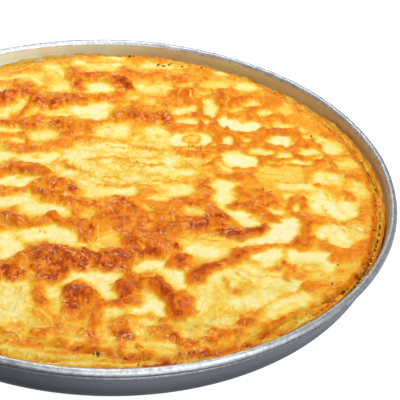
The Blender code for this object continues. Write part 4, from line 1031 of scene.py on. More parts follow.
        (0.70, 0.80, 2, 740, 355, 3.4, 850, 360, 3.4), (0.70, 0.80, 2.6, 900, 330, 5, 985, 340, 6),
    )),
    # front right
    (180, 235, 5, (
        (0.28, 0.25, 2.6, 20, 30, 4, 230, 40, 4), (0.08, 0.15, 2.2, 60, 70, 6, 130, 86, 7, 180, 96, 5),
        (0.07, 0.12, 2, 410, 110, 7.5, 462, 95, 6.5), (0.16, 0.15, 2.6, 330, 170, 6, 390, 190, 5),
        (0.09, 0.15, 2.4, 580, 110, 7, 650, 115, 7.6, 720, 110, 6, 740, 160, 5),
        (0.13, 0.30, 2, 170, 230, 7, 240, 192, 7, 300, 200, 6),
        (0.16, 0.30, 2, 130, 260, 6, 140, 310, 6, 112, 370, 5),
        (0.11, 0.30, 2, 440, 235, 7, 520, 225, 8, 570, 250, 7),
        (0.10, 0.30, 2, 290, 345, 6, 370, 330, 9, 440, 300, 8),
        (0.15, 0.15, 2.2, 490, 380, 5.6, 560, 342, 6.6, 620, 310, 5.6),
        (0.14, 0.70, 2.2, 200, 440, 6, 260, 430, 5), (0.14, 0.70, 2, 100, 470, 4, 145, 480, 4),
        (0.08, 0.10, 2, 800, 25, 8), (0.10, 0.15, 1.8, 895, 12, 4), (0.09, 0.12, 1.8, 700, 4, 4),
        (0.77, 0.40, 2.2, 200, 142, 3.6, 270, 110, 5, 310, 82, 5),
        (0.68, 0.35, 2.2, 370, 76, 4, 442, 50, 3),
        (0.88, 0.40, 2, 85, 190, 5, 140, 152, 5.4, 202, 146, 3.8), (0.85, 0.45, 2, 80, 212, 5.6),
        (0.84, 0.45, 2.2, 8, 110, 7), (0.80, 0.50, 2.2, 20, 330, 7, 30, 370, 5.6),
        (0.44, 0.20, 1.6, 290, 286, 5.6), (0.68, 0.30, 1.6, 288, 284, 3),
        (0.48, 0.20, 1.2, 225, 215, 1.4, 236, 272, 1.6),
        (0.60, 0.30, 1.4, 345, 382, 1.6, 440, 370, 1.8, 520, 302, 1.6, 590, 272, 1.8),
        (0.67, 0.30, 2, 640, 255, 5.4, 672, 242, 4.6), (0.58, 0.30, 1.8, 590, 195, 3, 640, 190, 3),
        (0.62, 0.25, 1.8, 540, 150, 3, 535, 215, 2.4), (0.75, 0.35, 2.2, 610, 42, 7, 642, 15, 5),
        (0.64, 0.30, 2, 710, 50, 4.4, 750, 60, 4), (0.56, 0.20, 3, 820, 120, 7, 880, 90, 7),
        (0.62, 0.30, 2.2, 720, 226, 3.6, 822, 220, 3.6), (0.80, 0.85, 2.2, 330, 430, 5.6),
        (0.64, 0.70, 2.2, 170, 480, 4, 290, 482, 4),
        (0.60, 0.30, 2, 430, 440, 3.4, 540, 402, 3.2, 640, 352, 3),
        (0.74, 0.30, 1, 450, 430, 0.9, 600, 380, 1, 742, 320, 0.9),
    )),
    # front right, near the wall
    (190, 275, 5, (
        (0.36, 0.30, 2, 600, 150, 3, 660, 116, 3), (0.64, 0.30, 2, 592, 44, 3.6, 616, 60, 3.6),
        (0.12, 0.20, 2, 400, 206, 3, 450, 160, 4.4, 530, 112, 4.4, 556, 150, 3),
        (0.62, 0.20, 1, 300, 250, 1, 400, 232, 1, 480, 214, 1, 560, 184, 1, 640, 138, 1, 700, 98, 1),
        (0.50, 0.50, 2.4, 700, 40, 5, 790, 40, 5, 750, 90, 4), (0.26, 0.60, 1.6, 620, 10, 2, 760, 10, 2),
        (0.40, 0.40, 1.6, 250, 330, 3, 330, 300, 3),
    )),
    # front left, at the wall
    (0, 326, 5, (
        (0.40, 0.85, 2.4, 0, 10, 4, 90, 20, 4), (0.16, 0.40, 1.6, 95, 52, 1.4, 130, 48, 1.4),
        (0.60, 0.90, 2.2, 190, 20, 4, 310, 20, 4), (0.22, 0.60, 1.8, 372, 0, 2.4, 372, 80, 2.4),
        (0.74, 0.80, 2.2, 420, 20, 4, 470, 40, 4), (0.26, 0.70, 2, 520, 40, 2.6, 550, 80, 2.8),
        (0.86, 0.70, 1.8, 610, 44, 3.4, 650, 46, 3), (0.26, 0.50, 2.2, 690, 10, 4, 720, 60, 4),
        (0.66, 0.60, 1.6, 696, 80, 1.8, 700, 108, 1.8), (0.60, 0.60, 2, 770, 10, 3.6, 800, 50, 3.4),
        (0.64, 0.85, 2, 850, 70, 3.6, 950, 70, 3.6), (0.15, 0.30, 1.6, 745, 92, 2, 870, 98, 2.2),
        (0.20, 0.30, 1.8, 790, 134, 2.6, 850, 134, 2.6), (0.54, 0.40, 2, 150, 96, 2.4, 350, 104, 2.4),
        (0.60, 0.50, 1.6, 400, 104, 1.8, 560, 112, 2), (0.28, 0.40, 1.2, 150, 64, 1.2, 260, 84, 1.2),
    )),
    # far right, at the wall
    (330, 110, 9, (
        (0.64, 0.40, 3, 60, 1330, 6, 220, 1280, 7, 360, 1170, 5),
        (0.60, 0.45, 2.4, 250, 960, 5, 335, 890, 5), (0.60, 0.30, 2.2, 240, 395, 3, 330, 440, 3),
        (0.12, 0.15, 2.2, 10, 350, 7), (0.13, 0.15, 2.2, 30, 612, 5.6),
        (0.24, 0.15, 2, 110, 490, 4.4, 190, 480, 4.4), (0.20, 0.15, 2, 230, 722, 4.4, 280, 762, 3.8),
        (0.09, 0.15, 2.2, 140, 870, 6, 172, 930, 5.2), (0.08, 0.12, 1.8, 110, 1112, 5.4, 120, 1178, 4.4),
        (0.22, 0.10, 1.4, 205, 1090, 2.2, 216, 1150, 2), (0.66, 0.35, 2, 172, 590, 3.6, 285, 602, 3.8),
        (0.68, 0.35, 2, 160, 750, 3.8, 192, 792, 2.8), (0.64, 0.60, 1.8, 40, 490, 3),
        (0.07, 0.95, 1.4, 255, 1062, 2, 300, 1082, 2.2, 268, 1132, 2.8, 300, 1150, 1.8),
        (0.08, 0.80, 1.2, 178, 1050, 1.3, 232, 1040, 1.3),
    )),
)
# Thin lips of film and the creases beside them: how far baked (painted pale highlight on lips, dark shade in
# creases), rise, half width, points (x, y).
LIPS = (
    (0.00, 1.1, 0.8, 47, 140, 50, 151, 53, 160.5, 57, 150, 60, 140),
    (0.02, 0.9, 0.7, 62, 54.5, 71, 59.5, 80, 62), (0.85, -0.9, 0.7, 64, 52.5, 72, 57, 80, 59),
    (0.05, 0.9, 0.8, 124, -61, 126, -68, 126, -75),
    (0.05, 1, 0.8, -47, -141, -40, -147, -33, -151.5, -30, -158, -29, -164),
    (0.10, 0.8, 0.7, -22, -152, -20, -159, -18, -166), (0.08, 1, 0.7, 26, -61, 28, -66, 31, -71),
    (0.30, 0.8, 0.7, 33, -61, 40, -67, 46, -72), (0.85, -0.8, 0.7, 32, -63, 39, -69, 45, -74),
    (0.10, 0.9, 0.7, 84, -82, 89, -84, 90.5, -89), (0.85, -0.8, 0.6, 100, -92, 105, -98, 110, -103.5),
    (0.66, -0.5, 0.6, 114, -98, 122, -94.5, 131, -93.5, 140, -100),
    (0.04, 0.9, 0.8, 79, -108, 79.5, -120, 79, -130, 74, -138, 72, -143),
    (0.10, 0.8, 0.7, 21, -148, 21.5, -158), (0.95, -1.2, 0.8, 1, -28.5, 6, -26, 11, -22),
    (0.05, 0.8, 0.7, -4, -44, -5, -50, -3, -58), (0.30, 0.6, 0.6, 28, -28, 34, -22, 44, -22, 48, -26),
    (0.86, -1, 0.8, 166, -16.5, 174, -17.5, 180, -23),
    (0.10, 1, 0.8, 159, -4, 165, -14, 171, -25, 179, -38),
    (0.66, -0.7, 0.8, 162, -3, 168, -13, 174, -24, 181, -36), (0.05, 0.9, 0.7, 84, 149, 90, 145, 88, 134),
    (0.80, -0.8, 0.6, 45, 111, 68, 113, 90, 112), (0.80, -0.7, 0.6, -95, 165, -82, 171, -73, 177, -70, 183),
    (0.10, 0.7, 0.7, -36, 102, -38, 110, -35, 118), (0.02, 0.8, 0.8, -22, -83, -18, -79.5, -12, -78),
    (0.80, -0.7, 0.6, -60, -46, -50, -50, -44, -54), (0.72, -0.6, 0.6, -5, 64, 20, 66, 36, 63),
    (0.10, 0.6, 0.6, -2, 57, 20, 56, 44, 54), (0.72, -0.6, 0.6, 2, 42, 22, 39, 42, 41),
    (0.70, -0.6, 0.6, 30, 24, 44, 20, 60, 22), (0.75, -0.7, 0.6, 128, 28, 140, 27, 152, 28),
    (0.70, -0.6, 0.6, 112, 40, 126, 37, 138, 36), (0.75, -0.7, 0.6, 160, -28, 168, -22, 176, -24),
    (0.70, -0.6, 0.6, 40, -50, 60, -53, 84, -54), (0.10, 0.6, 0.6, 56, -46, 70, -48, 90, -50),
)
# Below and outside the top sheet's edge: how far baked, how soaked, softness, points.
EDGE_LEAVES = (
    (0.20, 0.35, 2, 70, 190, 2.4, 98, 184, 3, 116, 172, 3, 134, 158, 3, 148, 145, 2.4),
    (0.40, 0.70, 1.6, 150, 140, 2, 160, 124, 2, 172, 104, 2),
    (0.30, 0.50, 1.6, 120, 166, 1.2, 136, 154, 1.2),
    (0.60, 0.90, 1.6, 160, 122, 1.4, 175, 100, 1.6, 187, 80, 1.4, 195, 58, 1.4, 200, 38, 1.4),
    (0.55, 0.80, 1.6, 203, 15, 1.2, 206, -10, 1.2, 205, -30, 1.4),
    (0.46, 0.80, 2.4, 196, -40, 2, 200, -56, 2.4),
    (0.44, 0.85, 2.4, 188, -92, 3, 178, -106, 3.4, 166, -118, 3),
    (0.36, 0.75, 2.4, 160, -128, 3.4, 148, -138, 3.4, 132, -148, 3.4, 122, -152, 3),
    (0.14, 0.35, 1.6, 142, -149, 1.6, 149, -143, 2), (0.62, 0.80, 2, 132, -158, 2.4, 116, -168, 2.4),
    (0.60, 0.10, 2.4, -74, -181, 2.6, -58, -186, 2.6, -40, -190, 2.6),
    (0.50, 0.15, 2.4, -24, -192, 3, 0, -193, 3, 20, -194, 3, 44, -195, 2.6),
    (0.66, 0.20, 2.4, 66, -193, 2.6, 88, -188, 2.6, 110, -178, 2.6),
    (0.50, 0.55, 2, -80, -186, 2, -62, -192, 2, -50, -196, 2),
    (0.16, 0.40, 2, -54, -193, 1.8, -42, -196, 2.8, -26, -198, 2.4),
    (0.26, 0.45, 2, -20, -199, 2, -4, -200, 1.6),
    # Painted shade: the amber band below the pale roll.
    (0.62, 0.85, 2.6, -70, -198, 2.6, -46, -203, 2.6, -20, -204, 1.6),
    (0.80, 0.60, 1.6, -100, -190, 2.6, -76, -198, 1.6, -60, -202, 1.4),
    (0.22, 0.35, 1.2, -28, -207, 1, 0, -206.5, 1.2, 20, -206, 1.2, 36, -204, 0.9),
    # Painted shade: the darker band below the thin roll, by the wall.
    (0.72, 0.60, 1.4, -26, -211, 1.6, 0, -211, 1.6, 30, -209, 1.6),
    (0.60, 0.70, 2, 10, -201, 1.6, 34, -200, 1.6),
    (1.00, 0.00, 1.4, 38, -204, 1.8, 50, -204, 2.2, 61, -201, 1.8),
    (0.90, 0.40, 1.6, 108, -179, 1.2, 118, -173, 1.4), (0.92, 0.40, 1.2, 130, -162, 1, 137, -158, 1),
    (0.92, 0.30, 1, 142, -155, 1), (0.90, 0.40, 0.8, 162, -123, 0.5, 170, -119, 0.5),
)
EDGE_LEAVES_CLOSE = (
    # back right, at the wall
    (300, 100, 7, (
        (0.34, 0.60, 1.6, 60, 70, 1.6, 150, 150, 1.6, 240, 205, 1.6),
        (0.40, 0.80, 1.6, 330, 265, 1.6, 400, 345, 1.6, 455, 440, 1.8, 490, 520, 1.8, 530, 640, 1.8, 548,
         760, 1.8, 540, 900, 1.8, 530, 1000, 1.8),
        (0.56, 0.12, 1.2, 350, 280, 1.2, 440, 380, 1.2, 500, 470, 1.3, 545, 590, 1.3, 560, 700, 1.2, 562,
         850, 1.2, 545, 1000, 1.2, 500, 1100, 1.2),
        (0.82, 0.90, 0.9, 300, 246, 0.6, 330, 272, 0.7),
        (0.84, 0.90, 0.9, 462, 455, 0.7, 490, 545, 0.8, 500, 590, 0.6),
        (0.84, 0.80, 0.9, 525, 650, 0.7, 540, 740, 1), (0.86, 0.80, 0.9, 522, 870, 0.6, 515, 910, 0.7),
        (0.80, 0.80, 0.9, 500, 1060, 0.6, 450, 1150, 0.8), (0.14, 0.30, 0.9, 532, 705, 0.8),
        (0.16, 0.30, 0.9, 100, 88, 1, 125, 112, 1),
        (0.92, 0.50, 0.8, 118, 128, 0.7, 190, 180, 0.8, 236, 206, 0.7), (0.90, 0.50, 0.8, 380, 1222, 1),
    )),
    # front left, at the wall
    (0, 326, 5, (
        (0.34, 0.45, 2.6, 0, 60, 4, 200, 112, 4, 400, 142, 4, 560, 160, 3),
        (0.30, 0.55, 1.4, 0, 38, 1.6, 60, 46, 1.6, 150, 66, 1.6, 230, 90, 1.2),
        (0.62, 0.10, 1.4, 30, 76, 2, 120, 92, 2, 200, 106, 1.8),
        # Painted shade: amber below the khaki roll.
        (0.50, 0.50, 1.4, 0, 125, 1.4, 120, 160, 1.6, 240, 182, 1.4),
        (0.20, 0.40, 1.6, 0, 100, 2.4, 100, 134, 2.8, 200, 151, 2.6, 300, 158, 2.4, 400, 154, 1.8),
        (0.62, 0.10, 1.2, 240, 124, 1.2, 400, 134, 1.4, 520, 140, 1.2),
        (0.28, 0.25, 1.2, 440, 152, 1.6, 530, 138, 1.4),
        (0.66, 0.20, 1.6, 560, 152, 2, 640, 166, 2, 760, 162, 2),
        (0.80, 0.20, 0.8, 600, 130, 0.7, 640, 138, 0.7, 700, 150, 0.7),
        # Painted shade: amber below the second thin roll.
        (0.50, 0.50, 1, 300, 199, 1.2, 640, 203, 1.2),
        (0.10, 0.35, 1, 275, 184, 1.1, 450, 179, 1.3, 560, 188, 1.1, 690, 190, 1),
        (0.14, 0.30, 0.9, 200, 176, 0.8, 262, 184, 0.8),
        (0.48, 0.30, 2, 780, 172, 2, 900, 162, 3, 1000, 152, 3), (0.66, 0.20, 1, 900, 150, 1, 1000, 140, 1),
        (0.32, 0.60, 1, 890, 181, 1.2, 1000, 173, 1.2),
        (1.00, 0.30, 0.9, 745, 192, 1.2, 800, 189, 1.5, 885, 184, 1.2),
        (1.00, 0.20, 0.9, 0, 131, 0.9, 30, 146, 0.7),
    )),
    # front right, near the wall
    (190, 275, 5, (
        (0.36, 0.75, 2.2, 330, 318, 2, 380, 270, 3.4, 470, 245, 3.6, 560, 222, 3.4, 640, 182, 3, 700, 152,
         2.4),
        (0.22, 0.70, 1.4, 392, 246, 1.4, 470, 226, 1.6, 556, 200, 1.4),
        (0.58, 0.20, 1.4, 420, 276, 1.4, 486, 262, 1.4),
        (0.60, 0.20, 1.4, 716, 150, 1.2, 790, 98, 1.6, 850, 48, 1.6),
        (0.10, 0.35, 1, 522, 262, 1.1, 545, 236, 1.5, 585, 218, 1.3, 600, 238, 0.9),
        (0.95, 0.60, 0.8, 610, 196, 0.6, 640, 186, 0.7, 700, 142, 0.8, 728, 122, 0.8),
        (0.90, 0.60, 0.7, 500, 258, 0.6, 516, 250, 0.6), (0.86, 0.40, 1, 455, 298, 1, 482, 289, 1),
        (0.90, 0.40, 0.8, 330, 350, 0.7, 348, 346, 0.7),
    )),
)
# Where fat and egg soaked through and the sheets are glassy and deep yellow: how much, softness, points.
SOAKED_CLOSE = (
    # middle and front right
    (150, 180, 5, (
        (0.50, 2.4, 95, 715, 4, 180, 722, 4, 260, 735, 4), (0.34, 3, 200, 690, 5, 330, 720, 6),
        (0.16, 5, 320, 560, 8, 440, 480, 8, 560, 560, 10, 680, 500, 8),
        (0.55, 1.6, 505, 186, 1.8, 560, 204, 1.8), (0.22, 3, 430, 450, 4, 380, 500, 4),
        (0.36, 2.4, 430, 540, 2.4, 560, 545, 2.4), (0.30, 3, 740, 400, 4, 860, 420, 4),
        (0.40, 2, 440, 780, 4, 560, 745, 4, 700, 700, 3), (0.24, 3, 0, 790, 6, 60, 760, 5),
    )),
    # front left
    (0, 205, 5, (
        (0.16, 6, 520, 430, 8, 700, 440, 8), (0.18, 5, 60, 440, 9, 230, 470, 7),
        (0.25, 4, 120, 560, 8, 330, 600, 8),
    )),
    # left
    (0, 120, 5, (
        (0.20, 6, 420, 260, 9, 560, 300, 10, 700, 280, 8),
    )),
)

# Highest folds: two ends (x, y), half width and rise above the plates.
FOLDS = (
    ((-62, -86), (-25, -82), 10, 5.8), ((-25, -82), (24, -88), 11, 6.4),
    ((-92, -38), (-60, -42), 9, 5.6), ((-60, -42), (-38, -30), 6, 5.0),
    ((-14, -30), (-2, -56), 8, 4.8), ((24, -52), (44, -76), 7, 5.8),
    ((44, -40), (84, -32), 8, 5.4), ((84, -44), (116, -50), 7, 5.0),
    ((16, -114), (46, -110), 8, 5.6), ((46, -110), (62, -148), 7, 5.8),
    ((-18, -118), (-6, -128), 10, 5.6), ((-92, -106), (-58, -106), 8, 5.4),
    ((150, -24), (144, -66), 6, 4.8), ((76, -26), (98, -18), 7, 4.6),
    ((-104, 128), (-84, 134), 9, 5.6), ((-70, 128), (-4, 126), 8, 5.4),
    ((-42, 164), (-8, 160), 6, 4.8), ((0, 162), (14, 150), 8, 5.6),
    ((46, 140), (58, 152), 8, 5.8), ((0, 108), (46, 112), 7, 4.8),
    ((-62, 93), (-18, 92), 8, 5.2), ((64, 98), (138, 98), 5, 4.6),
    ((-60, 8), (-28, 14), 8, 5.0), ((-86, 26), (-48, 26), 7, 4.8),
    ((84, 152), (84, 134), 7, 5.0), ((144, -104), (156, -106), 8, 4.4),
)
# Radius of the top sheet's own edge, every 15 degrees from -180.
LEAF_EDGE = (
    203, 202, 200, 196, 186, 183, 187, 197, 202, 195, 203.5, 204.5,
    203, 202.5, 202, 201, 204, 206.5, 207, 205, 200.5, 200, 201, 203,
)


def edge_radius(angle):
    wanted = EDGE_R + EDGE_WAVE * waver(angle, 8.3, 3.1)
    return np.minimum(wanted, skin_inside(angle, SKIN_TOP) - 1.2)


def leaf_edge(angle):
    """A smooth closed curve through the radii of the top sheet's edge."""
    place = (np.degrees(angle) + 180) / 15
    start = np.floor(place).astype(int)
    t = place - start
    before, here, after, last = (np.take(LEAF_EDGE, start + k, mode="wrap") for k in (-1, 0, 1, 2))
    bent = 2 * here + (after - before) * t + (2 * before - 5 * here + 4 * after - last) * t * t
    return 0.5 * (bent + (3 * here - before - 3 * after + last) * t ** 3)


def to_half(value):
    """Rounded to half a millimetre."""
    return round(2 * value) / 2


def from_plan(x, y, z):
    """A place read on the plan, taken along the line of sight to the height z."""
    share = (z - eye_place[2]) / (PLAN_Z - eye_place[2])
    return [to_half(start + (read - start) * share) for read, start in zip((x, y), eye_place)]


def from_part(part_left, part_top, enlarged, x, y, z):
    """A place read on an enlarged part of the picture, taken along the line of sight to the height z."""
    right = part_left + x / enlarged - PICTURE / 2
    down = part_top + y / enlarged - PICTURE / 2
    ray = forward + (right * across - down * above) / LENS_PIXELS
    found = eye_place + ray * (z - eye_place[2]) / ray[2]
    return [to_half(v) for v in found[:2]]


def laid(rows, leading, height, *part):
    """Strokes with their places on the pie. The leading values of each come first, then its points."""
    found = []
    for row in rows:
        chain = []
        for x, y, size in zip(row[leading::3], row[leading + 1::3], row[leading + 2::3]):
            place = from_part(*part, x, y, height(row[0])) if part else from_plan(x, y, height(row[0]))
            chain += [*place, size]
        found.append((*row[:leading], *chain))
    return found


def laid_close(parts, leading, height):
    return [row for *part, rows in parts for row in laid(rows, leading, height, *part)]


def outside(x, y, chain):
    """Distance from a stroke's outline, negative inside. The chain holds its points (x, y, radius)."""
    points = np.array(chain, float).reshape(-1, 3)
    if len(points) == 1:
        points = np.repeat(points, 2, 0)
    away = np.full(x.shape, 1e3)
    for (ax, ay, ar), (bx, by, br) in zip(points[:-1], points[1:]):
        length2 = max((bx - ax) ** 2 + (by - ay) ** 2, 1e-6)
        t = np.clip(((x - ax) * (bx - ax) + (y - ay) * (by - ay)) / length2, 0, 1)
        away = np.minimum(away, np.hypot(x - ax - t * (bx - ax), y - ay - t * (by - ay)) - ar - t * (br - ar))
    return away


HIDDEN_X = -98.0
SPOTS = 400
SPOT_REACH = 196
PLATE_SPACING = 19


def hidden_bake():
    """Plates and browned folds for the side that is turned away, on a sunflower spiral nudged by noise."""
    plates, rows = [], []
    step = math.pi * (3 - math.sqrt(5))
    for index in range(SPOTS):
        reach = SPOT_REACH * math.sqrt((index + 0.5) / SPOTS)
        px = reach * math.cos(index * step) + 5 * float(ripple(index, 0.3, 1.7, 21.0))
        py = reach * math.sin(index * step) + 5 * float(ripple(index, 0.7, 1.7, 24.0))
        size = 8 + 3 * float(ripple(index, 0.1, 1.3, 27.0))
        if px > HIDDEN_X:
            continue
        turn = math.radians(70 * float(ripple(index, 0.9, 1.9, 30.0)))
        dx, dy = 0.8 * size * math.cos(turn), 0.8 * size * math.sin(turn)
        if min([math.hypot(px - ox, py - oy) for ox, oy in plates], default=99) > PLATE_SPACING:
            plates.append((px, py))
            rows.append((0.10, 0.15, 2.4, px - dx, py - dy, 0.6 * size, px + dx, py + dy, 0.7 * size))
        else:
            dark = 0.78 + 0.12 * float(ripple(index, 0.5, 1.1, 33.0))
            rows.insert(0, (dark, 0.85, 3.0, px - dx, py - dy, 4.5, px + dx, py + dy, 5.5))
    return rows


def fold_rise(x, y, fold):
    """Rise of one high fold, rounded across and at both ends."""
    (ax, ay), (bx, by), half_width, rise = fold
    away = outside(x, y, (ax, ay, 0, bx, by, 0)) / half_width
    return rise * np.maximum(1 - away * away, 0) ** 1.3


def ridged(x, y, size, seed):
    """Sharp crests and round valleys, 0 to 1."""
    return 1 - np.abs(ripple(x, y, size, seed))


def puckered(x, y, size, seed):
    """Sharp crests along the borders of cells of about the given size, as crumpled film has: 0 to 1."""
    found = [noise.voronoi((a, b, seed))[0] for a, b in zip((x / size).ravel(), (y / size).ravel())]
    return 1 - np.clip(np.array([second - first for first, second, *_ in found]).reshape(x.shape) * 1.6, 0, 1)


def bake_height(toned):
    """Height of the crust over the pan's foot, for how far it browned: the folds stand over the plates."""
    return PLATE_Z + BROWN_RISE * smooth(0.30, 0.92, toned)


a, b = (grid.ravel() for grid in np.meshgrid(
    np.linspace(-1, 1, GRID_ACROSS + 1), np.linspace(-1, 1, GRID_DEEP + 1), indexing="ij"))
wide = np.abs(a) > np.abs(b)
share = np.where(wide, a, b)
safe = np.where(share == 0, 1, share)
angle = np.where(wide, math.pi / 4 * b / safe, math.pi / 2 - math.pi / 4 * a / safe)
angle = np.where(share < 0, angle + math.pi, angle)
share = np.abs(share)
radius = share * edge_radius(angle)
x, y = radius * np.cos(angle), radius * np.sin(angle)
angle = np.arctan2(y, x)
inward = edge_radius(angle) - radius


def wander(seed):
    """How far an outline strays, in mm, with sharp turns. Seeds run on from the given one."""
    strayed = 1.2 * ripple(x, y, 17, seed) + 2.6 * (ridged(x, y, 8, seed + 1) - RIDGED_MEAN)
    return strayed + 1.2 * (ridged(x, y, 3.6, seed + 2) - RIDGED_MEAN)


# A piece of crust is never quite where it was laid: every outline below wanders.
wx, wy = x + wander(1.0), y + wander(4.0)

tone, crumple = np.full(x.shape, 0.56), np.full(x.shape, 0.5)
for level, rough, soft, *chain in laid(GROUND, 3, lambda toned: GROUND_Z):
    cover = smooth(0.75 * soft, -0.75 * soft, outside(x, y, chain))
    tone += cover * (level - tone)
    crumple += cover * (rough - crumple)
tone += (0.4 + crumple) * (0.14 * ripple(wx, wy, 13, 50.0) + 0.10 * ripple(wx, wy * 1.3, 6, 51.0))
near = np.full(x.shape, 1e3)
# At the back right the fold round each plate has browned into a rim.
rimmed = smooth(35, 60, x) * smooth(35, 55, y) * smooth(200, 170, radius)
shown_bake = laid(BAKED, 3, bake_height) + laid_close(BAKED_CLOSE, 3, bake_height)
for level, rough, soft, *chain in hidden_bake() + shown_bake:
    away = outside(wx, wy, chain)
    if level < 0.3:
        # Round a pale plate the crust goes through yellow first.
        away -= 1.0
        tone += 0.6 * smooth(5.0, 0.5, away) * (np.minimum(tone, 0.30) - tone)
        tone += 0.8 * rimmed * np.exp(-(((away - 2.4) / 1.8) ** 2)) * (0.74 - tone)
        near = np.minimum(near, away)
        level = level + 0.12 * smooth(-4.0, -0.5, away)
    elif level > 0.7:
        tone += 0.65 * smooth(5.0, 0.0, away) * (np.maximum(tone, 0.58) - tone)
        near = np.maximum(near, -away)
        level = level + 0.03 - 0.13 * smooth(-4.0, 0.0, away)
    cover = smooth(0.95 * soft, -0.8 * soft, away)
    tone += cover * (level - tone)
    crumple += cover * (rough - crumple)

# The film over the folds is crumpled finer and finer.
fx, fy = wx + 1.6 * ripple(x, y, 5, 31.0), wy + 1.6 * ripple(x, y, 5, 32.0)
film1 = 0.5 * puckered(fx, fy * 0.85, 9.5, 33.0) + 1.0 * ridged(fx, fy * 0.8, 8.0, 41.0) - 0.89
film2 = 0.3 * puckered(fx + 3, fy * 0.85, 5.0, 34.0) + 1.3 * ridged(fx, fy * 0.8, 4.4, 42.0) - 1.0
film3 = ridged(wx, wy * 0.9, 3.2, 35.0) - 0.72
rings = np.cos(near * 1.9 + 2.5 * ripple(x, y, 11, 39.0)) * np.exp(-((near - 2.5) / 4.0) ** 2)
rise = bake_height(tone) - PLATE_Z
for fold in FOLDS:
    rise = np.maximum(rise, fold_rise(wx, wy, fold) * (0.9 + 0.25 * film1) * smooth(0.42, 0.72, tone))
sway = 0.7 * ripple(x, y, 60, 12.0) + 0.5 * ripple(x, y, 24, 14.0)
calm = 0.35 * ripple(x, y, 9, 36.0) + 0.08 * ripple(x, y, 3, 38.0)
calm += 0.45 * (ridged(x, y * 1.3, 7, 37.0) - 0.7)
relief = PLATE_Z + sway + rise + calm + 0.35 * rings * (0.3 + crumple)
# Along the front edge the sheets are folded under, so their creases run with the wall.
folded = smooth(-30.0, -12.0, radius - leaf_edge(angle)) * smooth(-0.55, -0.85, np.sin(angle))
along = ridged(angle * 14, radius, 3.6, 40.0) - RIDGED_MEAN
relief += crumple * (1 - 0.7 * folded) * (1.3 * film1 + 1.0 * film2 + 0.4 * film3) + 0.9 * folded * along
tone += 0.25 * folded * along * smooth(0.15, 0.4, tone)
relief += 0.5 * smooth(0.5, -4.0, near)
tone = np.minimum(tone, 0.92)
# The film's crests and hollows took the heat differently.
uneven = 0.10 * ripple(fx, fy, 6, 54.0) + 0.11 * ripple(fx, fy * 0.8, 3, 55.0)
uneven += 0.06 * film3 - 0.10 * film1 - 0.08 * film2
tone += (0.25 + 0.75 * crumple) * uneven * smooth(0.1, 0.6, tone) + 0.05 * rings
tone += 0.035 * ripple(x, y, 5, 52.0) + 0.03 * ripple(x, y, 2.2, 53.0)
for level, lift, half_width, *read in LIPS:
    spots = [from_plan(px, py, LIP_Z + lift) for px, py in zip(read[::2], read[1::2])]
    away = outside(wx, wy, [(px, py, 0.0) for px, py in spots]) / half_width
    relief += lift * np.exp(-away * away)
    # Painted highlight and shade: the tone goes pale along each lip and dark along each crease.
    tone += 0.7 * np.exp(-away * away * 1.3) * (level - tone)
soaked = np.zeros(x.shape)
for amount, soft, *chain in laid_close(SOAKED_CLOSE, 2, lambda toned: SOAKED_Z):
    soaked = np.maximum(soaked, amount * smooth(soft, -soft, outside(wx, wy, chain)))

# The top sheet ends in a ragged lip, and the crumpled leaves below it show as far as the wall.
torn = leaf_edge(angle) + 1.0 * waver(angle, 60.0, 18.0) + 0.5 * waver(angle, 61.0, 44.0)
past = radius - np.minimum(torn, edge_radius(angle) + 1)
on_top = smooth(0.8, -0.8, past)
sagged = 3.0 * np.exp(-(((angle - 2.2) / 0.3) ** 2))
relief -= 1.4 * smooth(-5.0, 0.5, past) + sagged * smooth(-24.0, 0.0, past)
around = angle * EDGE_R
leaf_tone = 0.34 + 0.10 * ripple(x, y, 9, 62.0) + 0.22 * (ridged(around / 7, radius, 2.6, 63.0) - 0.7)
leaf_soak = 0.45 + 0.25 * ripple(x, y, 12, 64.0)
leaf_z = 30.4 - 3.0 * back_dip(angle) - 0.10 * np.clip(past, 0, 22) + 0.4 * ripple(x, y, 7, 65.0)
leaf_z += 0.8 * (ridged(around / 6, radius, 3.4, 66.0) - 0.7)
leaves = laid(EDGE_LEAVES, 3, lambda toned: LEAF_Z) + laid_close(EDGE_LEAVES_CLOSE, 3, lambda toned: LEAF_Z)
for level, soak, soft, *chain in leaves:
    cover = smooth(0.75 * soft, -0.75 * soft, outside(wx, wy, chain))
    leaf_tone += cover * (level - leaf_tone)
    leaf_soak += cover * (soak - leaf_soak)
    # Pale leaves lie on top, soaked ones lower, and the darkest ones down in the gaps.
    leaf_z += cover * (0.9 if level < 0.3 else -1.8 if level > 0.85 else -0.7 if soak > 0.75 else 0.1)
# Painted shade: the leaves are darker in a band just outside the top sheet's edge.
leaf_tone += 0.22 * np.exp(-((past - 1.1) / 0.9) ** 2)
tone += 0.16 * np.exp(-((past + 0.9) / 0.9) ** 2)
tone = leaf_tone + on_top * (tone - leaf_tone)
soaked = leaf_soak + on_top * (soaked - leaf_soak)
crumple = 0.6 + on_top * (crumple - 0.6)
relief = np.minimum(relief, TOP_LIMIT - 0.5 * np.exp(-np.maximum(relief - TOP_LIMIT, 0)) + 0.5)
level = leaf_z + on_top * (relief - leaf_z)
low = 28.4 + 0.6 * waver(angle, 5.1, 2.6)
t = 1 - np.clip(inward / 3.5, 0, 1)
level = np.minimum(low + (np.maximum(level, low + 0.3) - low) * np.sqrt(1 - t * t), TOP_LIMIT)

